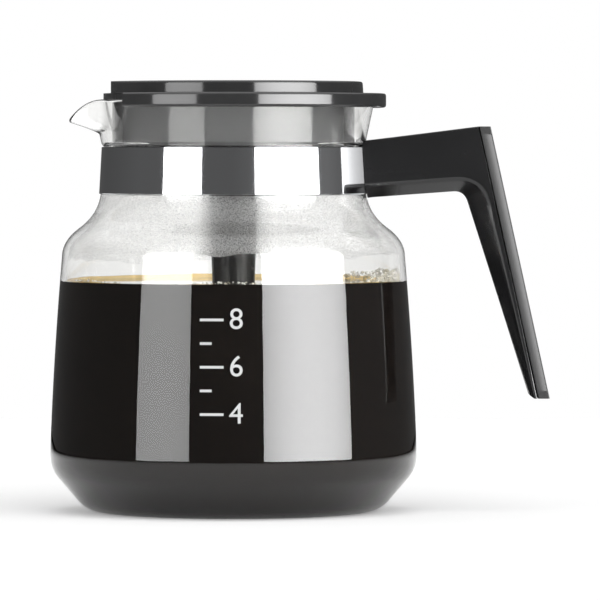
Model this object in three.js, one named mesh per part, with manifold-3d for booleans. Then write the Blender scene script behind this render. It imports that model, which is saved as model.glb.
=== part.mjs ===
// Glass coffee carafe. A blown glass jug stands on a flat foot and has a spout pulled from its rim.
// A split steel band round the neck clamps a moulded handle, and a loose lid carries a mixing tube.
// Millimetres, +Z up, origin at the centre of the foot, spout towards -X, handle towards +X.
import * as THREE from "three";
import { mergeVertices } from "three/addons/utils/BufferGeometryUtils.js";
import Module from "manifold-3d";

const wasm = await Module();
wasm.setup();

// Clearance between pieces that touch or fit into each other, and how far a cut runs past the face it opens
const FIT = 0.3;
const OVERCUT = 1;

// Jug
const FOOT_RADIUS = 51;
const FOOT_ROUND = 5.8;
const BEVEL_HEIGHT = 16.7;
const BELLY_ROUND = 5;
const BELLY_RADIUS = 71.2;
const SIDE_HEIGHT = 77.3;
const SIDE_BULGE = 0.5;
const SHOULDER_RADIUS = 66.5;
const SHOULDER_HEIGHT = 24.2;
const NECK_RADIUS = 50.7;
const NECK_TAPER = 1;
const FLARE_HEIGHT = 18;
const RIM_FLARE = 3.8;
const RIM_RADIUS = NECK_RADIUS + RIM_FLARE;
const RIM_CREST = 1.2;
const GLASS_WALL = 2;
const GLASS_FLOOR = 3;

// Spout
const SPOUT_REACH = 9.2;
const SPOUT_DROP = 8.4;
const SPOUT_HALF_ANGLE = 27;
const SPOUT_ROOT_HEIGHT = 5;
const SPOUT_CURL = 1.3;

// Neck band
const BAND_HEIGHT = 18.2;
const BAND_THICKNESS = 0.6;
const EAR_LENGTH = 16;
const EAR_GAP = 8;
const EAR_HEIGHT = 13;
const EAR_WINDOW_LENGTH = 6;
const EAR_WINDOW_HEIGHT = 8;
const EAR_END = 2.5;

// Handle
const HANDLE_WIDTH = 22;
const HANDLE_EDGE = 0.5;
const ARM_LIP_ABOVE = 2.4;
const ARM_LIP_BELOW = 1.5;
const ARM_REACH = 47.8;
const ARM_RISE = 5.5;
const ARM_DEPTH = 24.8;
const GRIP_DROP = 105.2;
const GRIP_LEAN = 12.3;
const GRIP_DEPTH = 15;
const GRIP_END_DEPTH = 7;
const GRIP_END_CHAMFER = 1.2;
const INNER_FILLET = 7;
const INNER_BEVEL_DEPTH = 5.2;
const INNER_BEVEL_WIDTH = 4.5;
const CHANNEL_WIDTH = 11;
const CHANNEL_HEAD = 6;
const CHANNEL_FOOT = 30;
const GRIP_WALL = 3.2;

// Back cover
const COVER_DEPTH = 4.4;
const COVER_ROUND = 3.4;
const COVER_LIP = 3;
const TONGUE_DEPTH = 1.6;

// Clamp screw, washer and nut
const SCREW_RADIUS = 2;
const SCREW_HEAD_RADIUS = 4;
const SCREW_HEAD_HEIGHT = 2.6;
const SCREW_RECESS = 1.3;
const SCREW_SLOT = 1;
const SCREW_PROUD = 2;
const WASHER_RADIUS = 4.5;
const WASHER_THICKNESS = 0.8;
const NUT_LENGTH = 8;
const NUT_HEIGHT = 11;
const NUT_LUG = 1;
const SCREW_BOSS = 14;

// Lid
const LID_PLAY = 1.2;
const LID_WALL = 2.2;
const SKIRT_DEPTH = 17.6;
const FLANGE_THICKNESS = 2.4;
const LIP_PLAY = 2.2;
const LIP_DEPTH = 3.1;
const LIP_WALL = 2.5;
const UPSTAND_INSET = 0.3;
const UPSTAND_RADIUS = NECK_RADIUS - UPSTAND_INSET;
const UPSTAND_HEIGHT = 4.6;
const UPSTAND_FLAT = 3.4;
const LID_ROUND = 1.1;
const NOTCH_HALF_ANGLE = 45;
const DISH_DEPTH = 9.5;
const DISH_FALL = 3.5;
const DISH_ROUND = 4;
const SOCKET_HEIGHT = 10;

// Mixing tube
const TUBE_TOP_RADIUS = 10;
const TUBE_END_RADIUS = 5.7;
const TUBE_WALL = 1.3;
const TUBE_COLLAR = 1.8;
const TUBE_COLLAR_HEIGHT = 1.6;
const TUBE_FLOOR_GAP = 12;

// Facets
const ROUND_STEPS = 56;
const TUBE_STEPS = 28;
const CURVE_STEPS = 4;
const SPOUT_GATHER = 0.35;

// Heights and radii that several pieces share
const bellyZ = BEVEL_HEIGHT + BELLY_ROUND;
const shoulderZ = bellyZ + SIDE_HEIGHT;
const bandFootZ = shoulderZ + SHOULDER_HEIGHT;
const bandTopZ = bandFootZ + BAND_HEIGHT;
const bandMiddleZ = (bandFootZ + bandTopZ) / 2;
const rimZ = bandTopZ + FLARE_HEIGHT;
const neckFootRadius = NECK_RADIUS + NECK_TAPER / 2;
const neckTopRadius = NECK_RADIUS - NECK_TAPER / 2;
const bandSkin = FIT + BAND_THICKNESS;
const bandRadius = NECK_RADIUS + bandSkin;

// Turns a closed geometry into a solid that can be cut and joined.
function solidOf(geometry) {
  const bare = new THREE.BufferGeometry();
  bare.setAttribute("position", geometry.getAttribute("position"));
  bare.setIndex(geometry.index);
  const merged = mergeVertices(bare, 1e-4);
  const corners = Array.from(merged.index.array);
  const faces = [];
  for (let i = 0; i < corners.length; i += 3) {
    const face = corners.slice(i, i + 3);
    if (new Set(face).size === 3) faces.push(...face);
  }
  const triVerts = new Uint32Array(faces);
  const vertProperties = merged.getAttribute("position").array;
  return new wasm.Manifold(new wasm.Mesh({ numProp: 3, vertProperties, triVerts }));
}

// Makes a named piece from a solid and its own material.
function pieceOf(name, solid, color, roughness, metalness) {
  const mesh = solid.getMesh();
  const geometry = new THREE.BufferGeometry();
  geometry.setAttribute("position", new THREE.BufferAttribute(mesh.vertProperties, 3));
  geometry.setIndex(new THREE.BufferAttribute(mesh.triVerts, 1));
  geometry.computeVertexNormals();
  const piece = new THREE.Mesh(geometry, new THREE.MeshStandardMaterial({ color, roughness, metalness }));
  piece.name = name;
  return piece;
}

// Skins a stack of rings, each with the same number of points, into one surface.
function skin(rings) {
  const count = rings[0].length;
  const points = rings.flat();
  const faces = [];
  for (let i = 0; i + 1 < rings.length; i += 1) {
    for (let j = 0; j < count; j += 1) {
      const a = i * count + j;
      const b = i * count + ((j + 1) % count);
      faces.push(a, b, a + count, b, b + count, a + count);
    }
  }
  const geometry = new THREE.BufferGeometry().setFromPoints(points);
  geometry.setIndex(faces);
  return geometry;
}

// A ring shrunk to its middle, which closes the end of a stack of rings.
function closing(ring) {
  const middle = ring.reduce((sum, point) => sum.add(point), new THREE.Vector3()).divideScalar(ring.length);
  return ring.map(() => middle);
}

// Revolves a closed outline of radius and height about the vertical axis.
function revolved(outline, steps) {
  const geometry = new THREE.LatheGeometry(outline, steps, Math.PI / 2);
  return solidOf(geometry.rotateX(Math.PI / 2));
}

// Extrudes a side view, drawn in X and Z, to a width centred on Y = 0.
function sideExtrusion(shape, width, edge = 0) {
  const geometry = new THREE.ExtrudeGeometry(shape, {
    depth: width - 2 * edge,
    curveSegments: CURVE_STEPS,
    bevelEnabled: edge > 0,
    bevelThickness: edge,
    bevelSize: edge,
    bevelOffset: -edge,
    bevelSegments: 1,
  });
  geometry.translate(0, 0, edge - width / 2);
  return solidOf(indexed(geometry.rotateX(Math.PI / 2)));
}

// Gives a geometry of loose triangles an index.
function indexed(geometry) {
  if (geometry.index) return geometry;
  const count = geometry.getAttribute("position").count;
  geometry.setIndex(Array.from({ length: count }, (_, i) => i));
  return geometry;
}

// A box between two X values and two Z values, centred on Y = 0.
function block(x0, x1, width, z0, z1) {
  const geometry = new THREE.BoxGeometry(x1 - x0, width, z1 - z0);
  return solidOf(geometry.translate((x0 + x1) / 2, 0, (z0 + z1) / 2));
}

// A cylinder along X at the height of the clamp screw.
function rod(x0, x1, radius) {
  const geometry = new THREE.CylinderGeometry(radius, radius, x1 - x0, TUBE_STEPS);
  return solidOf(geometry.rotateZ(Math.PI / 2).translate((x0 + x1) / 2, 0, bandMiddleZ));
}

// Jug: outer outline of radius against height, from the middle of the foot to the rim.
function jugOutline() {
  const bevelFoot = new THREE.Vector2(FOOT_RADIUS + FOOT_ROUND, 0);
  const bevelHead = new THREE.Vector2(BELLY_RADIUS, BEVEL_HEIGHT);
  const bevelRun = bevelHead.clone().sub(bevelFoot).normalize();
  const bevelStart = bevelFoot.clone().addScaledVector(bevelRun, FOOT_ROUND);
  const bevelEnd = bevelHead.clone().addScaledVector(bevelRun, -BELLY_ROUND);
  const sideRadius = (BELLY_RADIUS + SHOULDER_RADIUS) / 2 + 2 * SIDE_BULGE;
  const crown = new THREE.Vector2(SHOULDER_RADIUS, shoulderZ + SHOULDER_HEIGHT / 4);
  const throat = new THREE.Vector2(neckFootRadius + 3 * bandSkin, bandFootZ - SHOULDER_HEIGHT / 3);
  const turn = crown.clone().lerp(throat, 0.5);
  const seatRadius = neckFootRadius + 2 * bandSkin;
  const path = new THREE.Path();
  path.moveTo(0, 0);
  path.lineTo(FOOT_RADIUS, 0);
  path.quadraticCurveTo(bevelFoot.x, bevelFoot.y, bevelStart.x, bevelStart.y);
  path.lineTo(bevelEnd.x, bevelEnd.y);
  path.quadraticCurveTo(bevelHead.x, bevelHead.y, BELLY_RADIUS, bellyZ);
  path.quadraticCurveTo(sideRadius, (bellyZ + shoulderZ) / 2, SHOULDER_RADIUS, shoulderZ);
  path.quadraticCurveTo(crown.x, crown.y, turn.x, turn.y);
  path.quadraticCurveTo(throat.x, throat.y, seatRadius, bandFootZ - GLASS_WALL);
  path.lineTo(neckFootRadius, bandFootZ - FIT);
  path.lineTo(neckTopRadius, bandTopZ);
  path.quadraticCurveTo(neckTopRadius + bandSkin, bandTopZ + SPOUT_ROOT_HEIGHT, RIM_RADIUS, rimZ - RIM_CREST);
  return path.getPoints(CURVE_STEPS);
}

// Jug: one point of the outer surface, with the spout pulled outwards and its rim drawn down near -X.
function jugPoint(radius, z, angle) {
  const rootZ = bandTopZ + SPOUT_ROOT_HEIGHT;
  const across = Math.abs(angle - Math.PI) / THREE.MathUtils.degToRad(SPOUT_HALF_ANGLE);
  const pull = Math.max(0, 1 - across * across) ** 2;
  const rise = Math.max(0, (z - rootZ) / (rimZ - rootZ));
  const reach = radius + SPOUT_REACH * pull * rise ** SPOUT_CURL;
  const height = z - SPOUT_DROP * pull * pull * rise;
  return new THREE.Vector3(reach * Math.cos(angle), reach * Math.sin(angle), height);
}

// Jug: rings of the outer wall, a rounded rim, and an inner wall set in along the surface's own normals,
// so that the glass keeps its thickness where the spout is bent flat.
function makeJug() {
  const outline = jugOutline();
  const turns = Array.from({ length: ROUND_STEPS }, (_, j) => (2 * Math.PI * j) / ROUND_STEPS);
  const angles = turns.map((turn) => turn + SPOUT_GATHER * Math.sin(turn));
  const outer = outline.map((point) => angles.map((angle) => jugPoint(point.x, point.y, angle)));
  const last = outer.length - 1;
  const upAt = (i, j) => outer[Math.min(i + 1, last)][j].clone().sub(outer[Math.max(i - 1, 0)][j]);
  const inner = outer.map((ring, i) =>
    ring.map((point, j) => {
      const around = ring[(j + 1) % ROUND_STEPS].clone().sub(ring[(j + ROUND_STEPS - 1) % ROUND_STEPS]);
      const normal = i === 0 ? new THREE.Vector3(0, 0, -1) : around.cross(upAt(i, j)).normalize();
      const wall = i < 2 ? GLASS_FLOOR : GLASS_WALL;
      return point.clone().addScaledVector(normal, -wall);
    }),
  );
  const rim = outer[last].map((point, j) =>
    point.clone().lerp(inner[last][j], 0.5).addScaledVector(upAt(last, j).normalize(), GLASS_WALL / 2),
  );
  const glass = solidOf(skin([...outer, rim, ...inner.reverse()]));
  return pieceOf("glass_jug", glass, "#dfe6e4", 0.05, 0);
}

// A solid cone round the neck, set out from the band's seat by a given skin.
function neckCone(skinDepth) {
  const outline = [
    new THREE.Vector2(0, bandFootZ - SHOULDER_HEIGHT),
    new THREE.Vector2(neckFootRadius + skinDepth, bandFootZ - SHOULDER_HEIGHT),
    new THREE.Vector2(neckFootRadius + skinDepth, bandFootZ),
    new THREE.Vector2(neckTopRadius + skinDepth, bandTopZ),
    new THREE.Vector2(neckTopRadius + skinDepth, rimZ),
    new THREE.Vector2(0, rimZ),
  ];
  return revolved(outline, ROUND_STEPS);
}

// The glass below and above the band, set out by the clearance, which the handle must stay clear of.
function glassWithClearance() {
  const outline = jugOutline().filter((point) => point.y >= bellyZ);
  const grown = outline.map((point) => new THREE.Vector2(point.x + FIT, point.y));
  const foot = new THREE.Vector2(0, grown[0].y);
  const head = new THREE.Vector2(0, grown[grown.length - 1].y);
  return revolved([foot, ...grown, head], ROUND_STEPS);
}

// Neck band: a thin conical strip, split towards the handle, with two ears turned out along the split.
const earRootX = NECK_RADIUS;
const earTipX = bandRadius + EAR_LENGTH;
const windowEndX = earTipX - EAR_END;
const windowStartX = windowEndX - EAR_WINDOW_LENGTH;

function makeBand() {
  const strip = neckCone(bandSkin).subtract(neckCone(FIT));
  const height = block(-2 * bandRadius, 2 * bandRadius, 4 * bandRadius, bandFootZ, bandTopZ);
  const split = block(0, earTipX, EAR_GAP, bandFootZ - OVERCUT, bandTopZ + OVERCUT);
  const earFoot = bandMiddleZ - EAR_HEIGHT / 2;
  const earHead = bandMiddleZ + EAR_HEIGHT / 2;
  const ears = block(earRootX, earTipX, EAR_GAP + 2 * BAND_THICKNESS, earFoot, earHead)
    .subtract(neckCone(FIT))
    .subtract(split);
  const windowFoot = bandMiddleZ - EAR_WINDOW_HEIGHT / 2;
  const windowHead = bandMiddleZ + EAR_WINDOW_HEIGHT / 2;
  const windows = block(windowStartX, windowEndX, 2 * EAR_GAP, windowFoot, windowHead);
  const band = strip.intersect(height).subtract(split).add(ears).subtract(windows);
  return pieceOf("neck_band", band, "#c9ccd0", 0.15, 1);
}

// Handle: lines of the side view, each giving X at a height.
const gripTopZ = bandTopZ + ARM_LIP_ABOVE + ARM_RISE;
const gripEndZ = gripTopZ - GRIP_DROP;
const cornerZ = gripTopZ - ARM_DEPTH;
const leanRun = Math.tan(THREE.MathUtils.degToRad(GRIP_LEAN));
const backX = (z) => bandRadius + ARM_REACH + (gripTopZ - z) * leanRun;
const coverX = (z) => backX(z) - COVER_DEPTH;
const seamX = (z) => coverX(z) - FIT;
const depthRun = (GRIP_DEPTH - GRIP_END_DEPTH) / (cornerZ - gripEndZ);
const innerX = (z) => backX(z) - GRIP_END_DEPTH - (z - gripEndZ) * depthRun;
const channelHeadZ = gripTopZ - CHANNEL_HEAD;
const channelFootZ = gripEndZ + CHANNEL_FOOT;

// Handle: points of the inner edge, under the arm, round the fillet and down the grip.
const armFoot = new THREE.Vector2(NECK_RADIUS, bandFootZ - ARM_LIP_BELOW);
const innerCorner = new THREE.Vector2(innerX(cornerZ), cornerZ);
const innerEnd = new THREE.Vector2(innerX(gripEndZ), gripEndZ);
const towardsArm = armFoot.clone().sub(innerCorner).normalize();
const towardsEnd = innerEnd.clone().sub(innerCorner).normalize();
const filletArm = innerCorner.clone().addScaledVector(towardsArm, INNER_FILLET);
const filletGrip = innerCorner.clone().addScaledVector(towardsEnd, INNER_FILLET);

function handleShape() {
  const shape = new THREE.Shape();
  shape.moveTo(armFoot.x, armFoot.y);
  shape.lineTo(filletArm.x, filletArm.y);
  shape.quadraticCurveTo(innerCorner.x, innerCorner.y, filletGrip.x, filletGrip.y);
  shape.lineTo(innerX(gripEndZ + GRIP_END_CHAMFER), gripEndZ + GRIP_END_CHAMFER);
  shape.lineTo(innerX(gripEndZ) + GRIP_END_CHAMFER, gripEndZ);
  shape.lineTo(seamX(gripEndZ), gripEndZ);
  shape.lineTo(seamX(gripTopZ), gripTopZ);
  shape.lineTo(armFoot.x, bandTopZ + ARM_LIP_ABOVE);
  return shape;
}

// The waste that rounds one long edge: it follows a path in X and Z whose material lies to the left of travel.
function edgeWaste(path, depth, width, side) {
  const half = HANDLE_WIDTH / 2;
  const steps = Array.from({ length: CURVE_STEPS + 1 }, (_, i) => (Math.PI / 2) * (i / CURVE_STEPS));
  const section = steps.map((turn) => [depth * (1 - Math.cos(turn)), half - width * (1 - Math.sin(turn))]);
  const margin = Math.max(depth, width);
  section.push([depth, half + margin], [-margin, half + margin], [-margin, half - width]);
  const rings = path.map((point, i) => {
    const before = path[Math.max(i - 1, 0)];
    const after = path[Math.min(i + 1, path.length - 1)];
    const run = after.clone().sub(before).normalize();
    const inward = new THREE.Vector2(-run.y, run.x);
    const ring = section.map(([inset, y]) => {
      const spot = point.clone().addScaledVector(inward, inset);
      return new THREE.Vector3(spot.x, side * y, spot.y);
    });
    return side > 0 ? ring.reverse() : ring;
  });
  return solidOf(skin([closing(rings[0]), ...rings, closing(rings[rings.length - 1])]));
}

// Handle: where the pocket for the screw head starts, behind the slot for the ears and a solid boss.
const slotEndX = earTipX + EAR_END;
const pocketX = slotEndX + SCREW_BOSS;

function makeHandle() {
  const innerEdge = new THREE.Path();
  innerEdge.moveTo(armFoot.x - INNER_FILLET, armFoot.y + towardsArm.y * INNER_FILLET);
  innerEdge.lineTo(filletArm.x, filletArm.y);
  innerEdge.quadraticCurveTo(innerCorner.x, innerCorner.y, filletGrip.x, filletGrip.y);
  innerEdge.lineTo(innerEnd.x + towardsEnd.x * INNER_FILLET, innerEnd.y + towardsEnd.y * INNER_FILLET);
  const edgePoints = innerEdge.getPoints(CURVE_STEPS);
  const lugs = EAR_GAP + 2 * (BAND_THICKNESS + NUT_LUG + FIT);
  const slotHalf = EAR_HEIGHT / 2 + FIT;
  const channel = new THREE.Shape();
  channel.moveTo(innerX(channelFootZ) + GRIP_WALL, channelFootZ);
  channel.lineTo(backX(channelFootZ), channelFootZ);
  channel.lineTo(backX(channelHeadZ), channelHeadZ);
  channel.lineTo(innerX(channelHeadZ) + GRIP_WALL, channelHeadZ);
  const handle = sideExtrusion(handleShape(), HANDLE_WIDTH, HANDLE_EDGE)
    .subtract(edgeWaste(edgePoints, INNER_BEVEL_DEPTH, INNER_BEVEL_WIDTH, 1))
    .subtract(edgeWaste(edgePoints, INNER_BEVEL_DEPTH, INNER_BEVEL_WIDTH, -1))
    .subtract(glassWithClearance())
    .subtract(neckCone(bandSkin + FIT))
    .subtract(block(0, slotEndX, lugs, bandMiddleZ - slotHalf, bandMiddleZ + slotHalf))
    .subtract(sideExtrusion(channel, CHANNEL_WIDTH))
    .subtract(rod(slotEndX - OVERCUT, pocketX + OVERCUT, SCREW_RADIUS + FIT))
    .subtract(rod(pocketX, backX(bandMiddleZ), WASHER_RADIUS + FIT));
  return pieceOf("handle_body", handle, "#1c1c1d", 0.45, 0);
}

// Back cover: a strip with rounded back edges between two square lips, and a tongue that plugs into the handle.
function makeCover() {
  const strip = new THREE.Shape();
  strip.moveTo(coverX(gripEndZ), gripEndZ);
  strip.lineTo(backX(gripEndZ), gripEndZ);
  strip.lineTo(backX(gripTopZ), gripTopZ);
  strip.lineTo(coverX(gripTopZ), gripTopZ);
  const footZ = channelFootZ + FIT;
  const headZ = channelHeadZ - FIT;
  const tongue = new THREE.Shape();
  tongue.moveTo(seamX(footZ) - TONGUE_DEPTH, footZ);
  tongue.lineTo(backX(footZ) - COVER_DEPTH / 2, footZ);
  tongue.lineTo(backX(headZ) - COVER_DEPTH / 2, headZ);
  tongue.lineTo(seamX(headZ) - TONGUE_DEPTH, headZ);
  const lowerLipZ = gripEndZ + COVER_LIP;
  const upperLipZ = gripTopZ - COVER_LIP;
  const backEdge = [
    new THREE.Vector2(backX(lowerLipZ), lowerLipZ),
    new THREE.Vector2(backX(upperLipZ), upperLipZ),
  ];
  const cover = sideExtrusion(strip, HANDLE_WIDTH, HANDLE_EDGE)
    .add(sideExtrusion(tongue, CHANNEL_WIDTH - 2 * FIT))
    .subtract(edgeWaste(backEdge, COVER_ROUND, COVER_ROUND, 1))
    .subtract(edgeWaste(backEdge, COVER_ROUND, COVER_ROUND, -1));
  return pieceOf("handle_back_cover", cover, "#1f1f20", 0.4, 0);
}

// Clamp: the nut hangs in the ears' windows, and the screw pulls it towards the handle's boss.
const nutEndX = windowEndX - FIT;
const nutStartX = nutEndX - NUT_LENGTH;

function makeNut() {
  const body = block(nutStartX, nutEndX, EAR_GAP - 2 * FIT, bandMiddleZ - NUT_HEIGHT / 2, bandMiddleZ + NUT_HEIGHT / 2);
  const lugHalf = EAR_WINDOW_HEIGHT / 2 - FIT;
  const lugWidth = EAR_GAP + 2 * (BAND_THICKNESS + NUT_LUG);
  const lugs = block(windowStartX + FIT, nutEndX, lugWidth, bandMiddleZ - lugHalf, bandMiddleZ + lugHalf);
  const nut = body.add(lugs).subtract(rod(nutStartX - OVERCUT, nutEndX + OVERCUT, SCREW_RADIUS + FIT));
  return pieceOf("clamp_nut", nut, "#b6b9bd", 0.4, 1);
}

const washerX = pocketX + FIT;
const headX = washerX + WASHER_THICKNESS + FIT;

function makeWasher() {
  const washer = rod(washerX, washerX + WASHER_THICKNESS, WASHER_RADIUS)
    .subtract(rod(washerX - OVERCUT, headX + OVERCUT, SCREW_RADIUS + FIT));
  return pieceOf("clamp_washer", washer, "#b6b9bd", 0.35, 1);
}

function makeScrew() {
  const headEndX = headX + SCREW_HEAD_HEIGHT;
  const recessX = headEndX - SCREW_RECESS;
  const arm = SCREW_HEAD_RADIUS - SCREW_SLOT;
  const recessEndX = headEndX + OVERCUT;
  const across = block(recessX, recessEndX, 2 * arm, bandMiddleZ - SCREW_SLOT / 2, bandMiddleZ + SCREW_SLOT / 2);
  const upright = block(recessX, recessEndX, SCREW_SLOT, bandMiddleZ - arm, bandMiddleZ + arm);
  const screw = rod(nutStartX - SCREW_PROUD, recessX, SCREW_RADIUS)
    .add(rod(headX, headEndX, SCREW_HEAD_RADIUS))
    .subtract(across)
    .subtract(upright);
  return pieceOf("clamp_screw", screw, "#b9bcc0", 0.35, 1);
}

// Lid: heights of its seat on the rim, its top, its dish and the socket for the tube.
const seatZ = rimZ + FIT;
const flangeTopZ = seatZ + FLANGE_THICKNESS;
const lidTopZ = flangeTopZ + UPSTAND_HEIGHT;
const lipFootZ = seatZ - LIP_DEPTH;
const dishEdgeZ = lidTopZ - DISH_DEPTH;
const dishMiddleZ = dishEdgeZ - DISH_FALL;
const socketTopZ = dishMiddleZ - LID_WALL;
const socketFootZ = socketTopZ - SOCKET_HEIGHT;
const skirtRadius = neckTopRadius - GLASS_WALL - LID_PLAY;
const lipRadius = RIM_RADIUS + LIP_PLAY;
const flangeRadius = lipRadius + LIP_WALL;
const socketRadius = TUBE_TOP_RADIUS + FIT;

function lidOutline() {
  const skirtInner = skirtRadius - LID_WALL;
  const dishRadius = skirtInner;
  const holeRadius = TUBE_TOP_RADIUS - TUBE_WALL;
  const path = new THREE.Path();
  path.moveTo(skirtInner, seatZ - SKIRT_DEPTH);
  path.lineTo(skirtRadius, seatZ - SKIRT_DEPTH);
  path.lineTo(skirtRadius, seatZ);
  path.lineTo(lipRadius, seatZ);
  path.lineTo(lipRadius, lipFootZ);
  path.lineTo(flangeRadius - LIP_WALL / 2, lipFootZ);
  path.quadraticCurveTo(flangeRadius, lipFootZ, flangeRadius, lipFootZ + LIP_WALL / 2);
  path.lineTo(flangeRadius, flangeTopZ - LID_ROUND);
  path.quadraticCurveTo(flangeRadius, flangeTopZ, flangeRadius - LID_ROUND, flangeTopZ);
  path.lineTo(UPSTAND_RADIUS, flangeTopZ);
  path.lineTo(UPSTAND_RADIUS, lidTopZ - LID_ROUND);
  path.quadraticCurveTo(UPSTAND_RADIUS, lidTopZ, UPSTAND_RADIUS - LID_ROUND, lidTopZ);
  path.lineTo(UPSTAND_RADIUS - LID_WALL, lidTopZ);
  path.lineTo(dishRadius, dishEdgeZ + DISH_ROUND);
  path.quadraticCurveTo(dishRadius, dishEdgeZ, dishRadius - DISH_ROUND, dishEdgeZ);
  path.lineTo(socketRadius + LID_WALL, dishMiddleZ);
  path.quadraticCurveTo(holeRadius, dishMiddleZ, holeRadius, socketTopZ);
  path.lineTo(socketRadius, socketTopZ);
  path.lineTo(socketRadius, socketFootZ);
  path.lineTo(socketRadius + LID_WALL, socketFootZ);
  path.lineTo(socketRadius + LID_WALL, dishMiddleZ - LID_WALL);
  path.lineTo(skirtInner, dishEdgeZ - LID_WALL);
  path.lineTo(skirtInner, seatZ - SKIRT_DEPTH);
  return path.getPoints(CURVE_STEPS / 2);
}

// Lid: the sector over the spout where the flange is cut back to the upstand and its lip is left out.
function spoutNotch() {
  const half = THREE.MathUtils.degToRad(NOTCH_HALF_ANGLE);
  const sector = new THREE.Shape();
  sector.absarc(0, 0, UPSTAND_RADIUS, Math.PI - half, Math.PI + half, false);
  sector.absarc(0, 0, flangeRadius + OVERCUT, Math.PI + half, Math.PI - half, true);
  const depth = flangeTopZ - lipFootZ + OVERCUT;
  const geometry = new THREE.ExtrudeGeometry(sector, { depth, bevelEnabled: false, curveSegments: ROUND_STEPS / 4 });
  return solidOf(indexed(geometry.translate(0, 0, lipFootZ - OVERCUT)));
}

// Lid: the upstand is flat over the spout, so its wall is cut off there and closed by a straight one.
function makeLid() {
  const flatX = UPSTAND_FLAT - UPSTAND_RADIUS;
  const round = revolved(lidOutline(), ROUND_STEPS);
  const beyondFlat = block(-2 * UPSTAND_RADIUS, flatX, 2 * UPSTAND_RADIUS, flangeTopZ, lidTopZ + OVERCUT);
  const flatWall = block(flatX, flatX + LID_WALL, 2 * UPSTAND_RADIUS, seatZ, lidTopZ)
    .intersect(revolved(upstandOutline(), ROUND_STEPS));
  const lid = round.subtract(spoutNotch()).subtract(beyondFlat).add(flatWall);
  return pieceOf("lid_body", lid, "#1f1f20", 0.3, 0);
}

function upstandOutline() {
  return [
    new THREE.Vector2(0, seatZ),
    new THREE.Vector2(UPSTAND_RADIUS - LID_ROUND, seatZ),
    new THREE.Vector2(UPSTAND_RADIUS - LID_ROUND, lidTopZ),
    new THREE.Vector2(0, lidTopZ),
  ];
}

// Mixing tube: a tapered pipe with a collar that stops it against the foot of the lid's socket.
function makeTube() {
  const topZ = socketTopZ - FIT;
  const collarTopZ = socketFootZ - FIT;
  const collarFootZ = collarTopZ - TUBE_COLLAR_HEIGHT;
  const endZ = GLASS_FLOOR + TUBE_FLOOR_GAP;
  const outline = [
    new THREE.Vector2(TUBE_END_RADIUS - TUBE_WALL, endZ),
    new THREE.Vector2(TUBE_END_RADIUS, endZ),
    new THREE.Vector2(TUBE_TOP_RADIUS, collarFootZ),
    new THREE.Vector2(TUBE_TOP_RADIUS + TUBE_COLLAR, collarFootZ),
    new THREE.Vector2(TUBE_TOP_RADIUS + TUBE_COLLAR, collarTopZ),
    new THREE.Vector2(TUBE_TOP_RADIUS, collarTopZ),
    new THREE.Vector2(TUBE_TOP_RADIUS, topZ),
    new THREE.Vector2(TUBE_TOP_RADIUS - TUBE_WALL, topZ),
    new THREE.Vector2(TUBE_TOP_RADIUS - TUBE_WALL, collarFootZ),
    new THREE.Vector2(TUBE_END_RADIUS - TUBE_WALL, endZ),
  ];
  return pieceOf("mixing_tube", revolved(outline, TUBE_STEPS), "#161616", 0.4, 0);
}

// The carafe: the jug with its clamped handle, and the loose lid with its tube.
const group = new THREE.Group();
group.name = "glass_carafe";
group.add(makeJug(), makeBand(), makeHandle(), makeCover(), makeNut(), makeWasher(), makeScrew());
const lidGroup = new THREE.Group();
lidGroup.name = "lid";
lidGroup.add(makeLid(), makeTube());
group.add(lidGroup);

export default group;
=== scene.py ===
import math

import bmesh
import bpy
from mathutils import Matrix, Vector


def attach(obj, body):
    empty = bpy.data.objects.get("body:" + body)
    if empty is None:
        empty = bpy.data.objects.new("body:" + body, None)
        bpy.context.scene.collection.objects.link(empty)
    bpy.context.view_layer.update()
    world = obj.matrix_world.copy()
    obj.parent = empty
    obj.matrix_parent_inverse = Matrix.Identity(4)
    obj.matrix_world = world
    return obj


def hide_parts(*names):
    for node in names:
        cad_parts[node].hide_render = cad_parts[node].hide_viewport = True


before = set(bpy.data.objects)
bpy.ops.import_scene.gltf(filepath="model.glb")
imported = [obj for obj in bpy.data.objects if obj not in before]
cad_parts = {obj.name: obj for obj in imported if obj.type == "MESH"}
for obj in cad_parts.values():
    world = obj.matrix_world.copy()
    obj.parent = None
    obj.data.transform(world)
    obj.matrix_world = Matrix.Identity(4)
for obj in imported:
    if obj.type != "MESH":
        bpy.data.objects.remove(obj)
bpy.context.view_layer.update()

# Glass jug
# Blown borosilicate glass with a flat foot, a bevelled base, nearly straight sides and a narrow neck.
# It is turned from one outline, and the spout is pulled out of the rim while the glass is hot.
MM = 0.001
WELD = 0.001 * MM
FIT = 0.3 * MM
FOOT_RADIUS = 51 * MM
FOOT_ROUND = 5.8 * MM
BEVEL_HEIGHT = 16.7 * MM
BELLY_ROUND = 5 * MM
BELLY_RADIUS = 71.2 * MM
SIDE_HEIGHT = 77.3 * MM
SIDE_BULGE = 0.5 * MM
SHOULDER_RADIUS = 66.5 * MM
SHOULDER_HEIGHT = 24.2 * MM
NECK_RADIUS = 50.7 * MM
NECK_TAPER = 1 * MM
FLARE_HEIGHT = 18 * MM
FLARE_TURN = 0.05
RIM_FLARE = 3.8 * MM
RIM_CREST = 1.2 * MM
GLASS_WALL = 2 * MM
RIM_ROUND = 0.45 * GLASS_WALL
BAND_HEIGHT = 18.2 * MM
BAND_THICKNESS = 0.6 * MM
SPOUT_REACH = 9.2 * MM
SPOUT_DROP = 8.4 * MM
SPOUT_HALF_ANGLE = math.radians(27)
SPOUT_ROOT_HEIGHT = 5 * MM
SPOUT_CURL = 1.3
SPOUT_GATHER = 0.35
JUG_TURNS = 176

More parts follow.
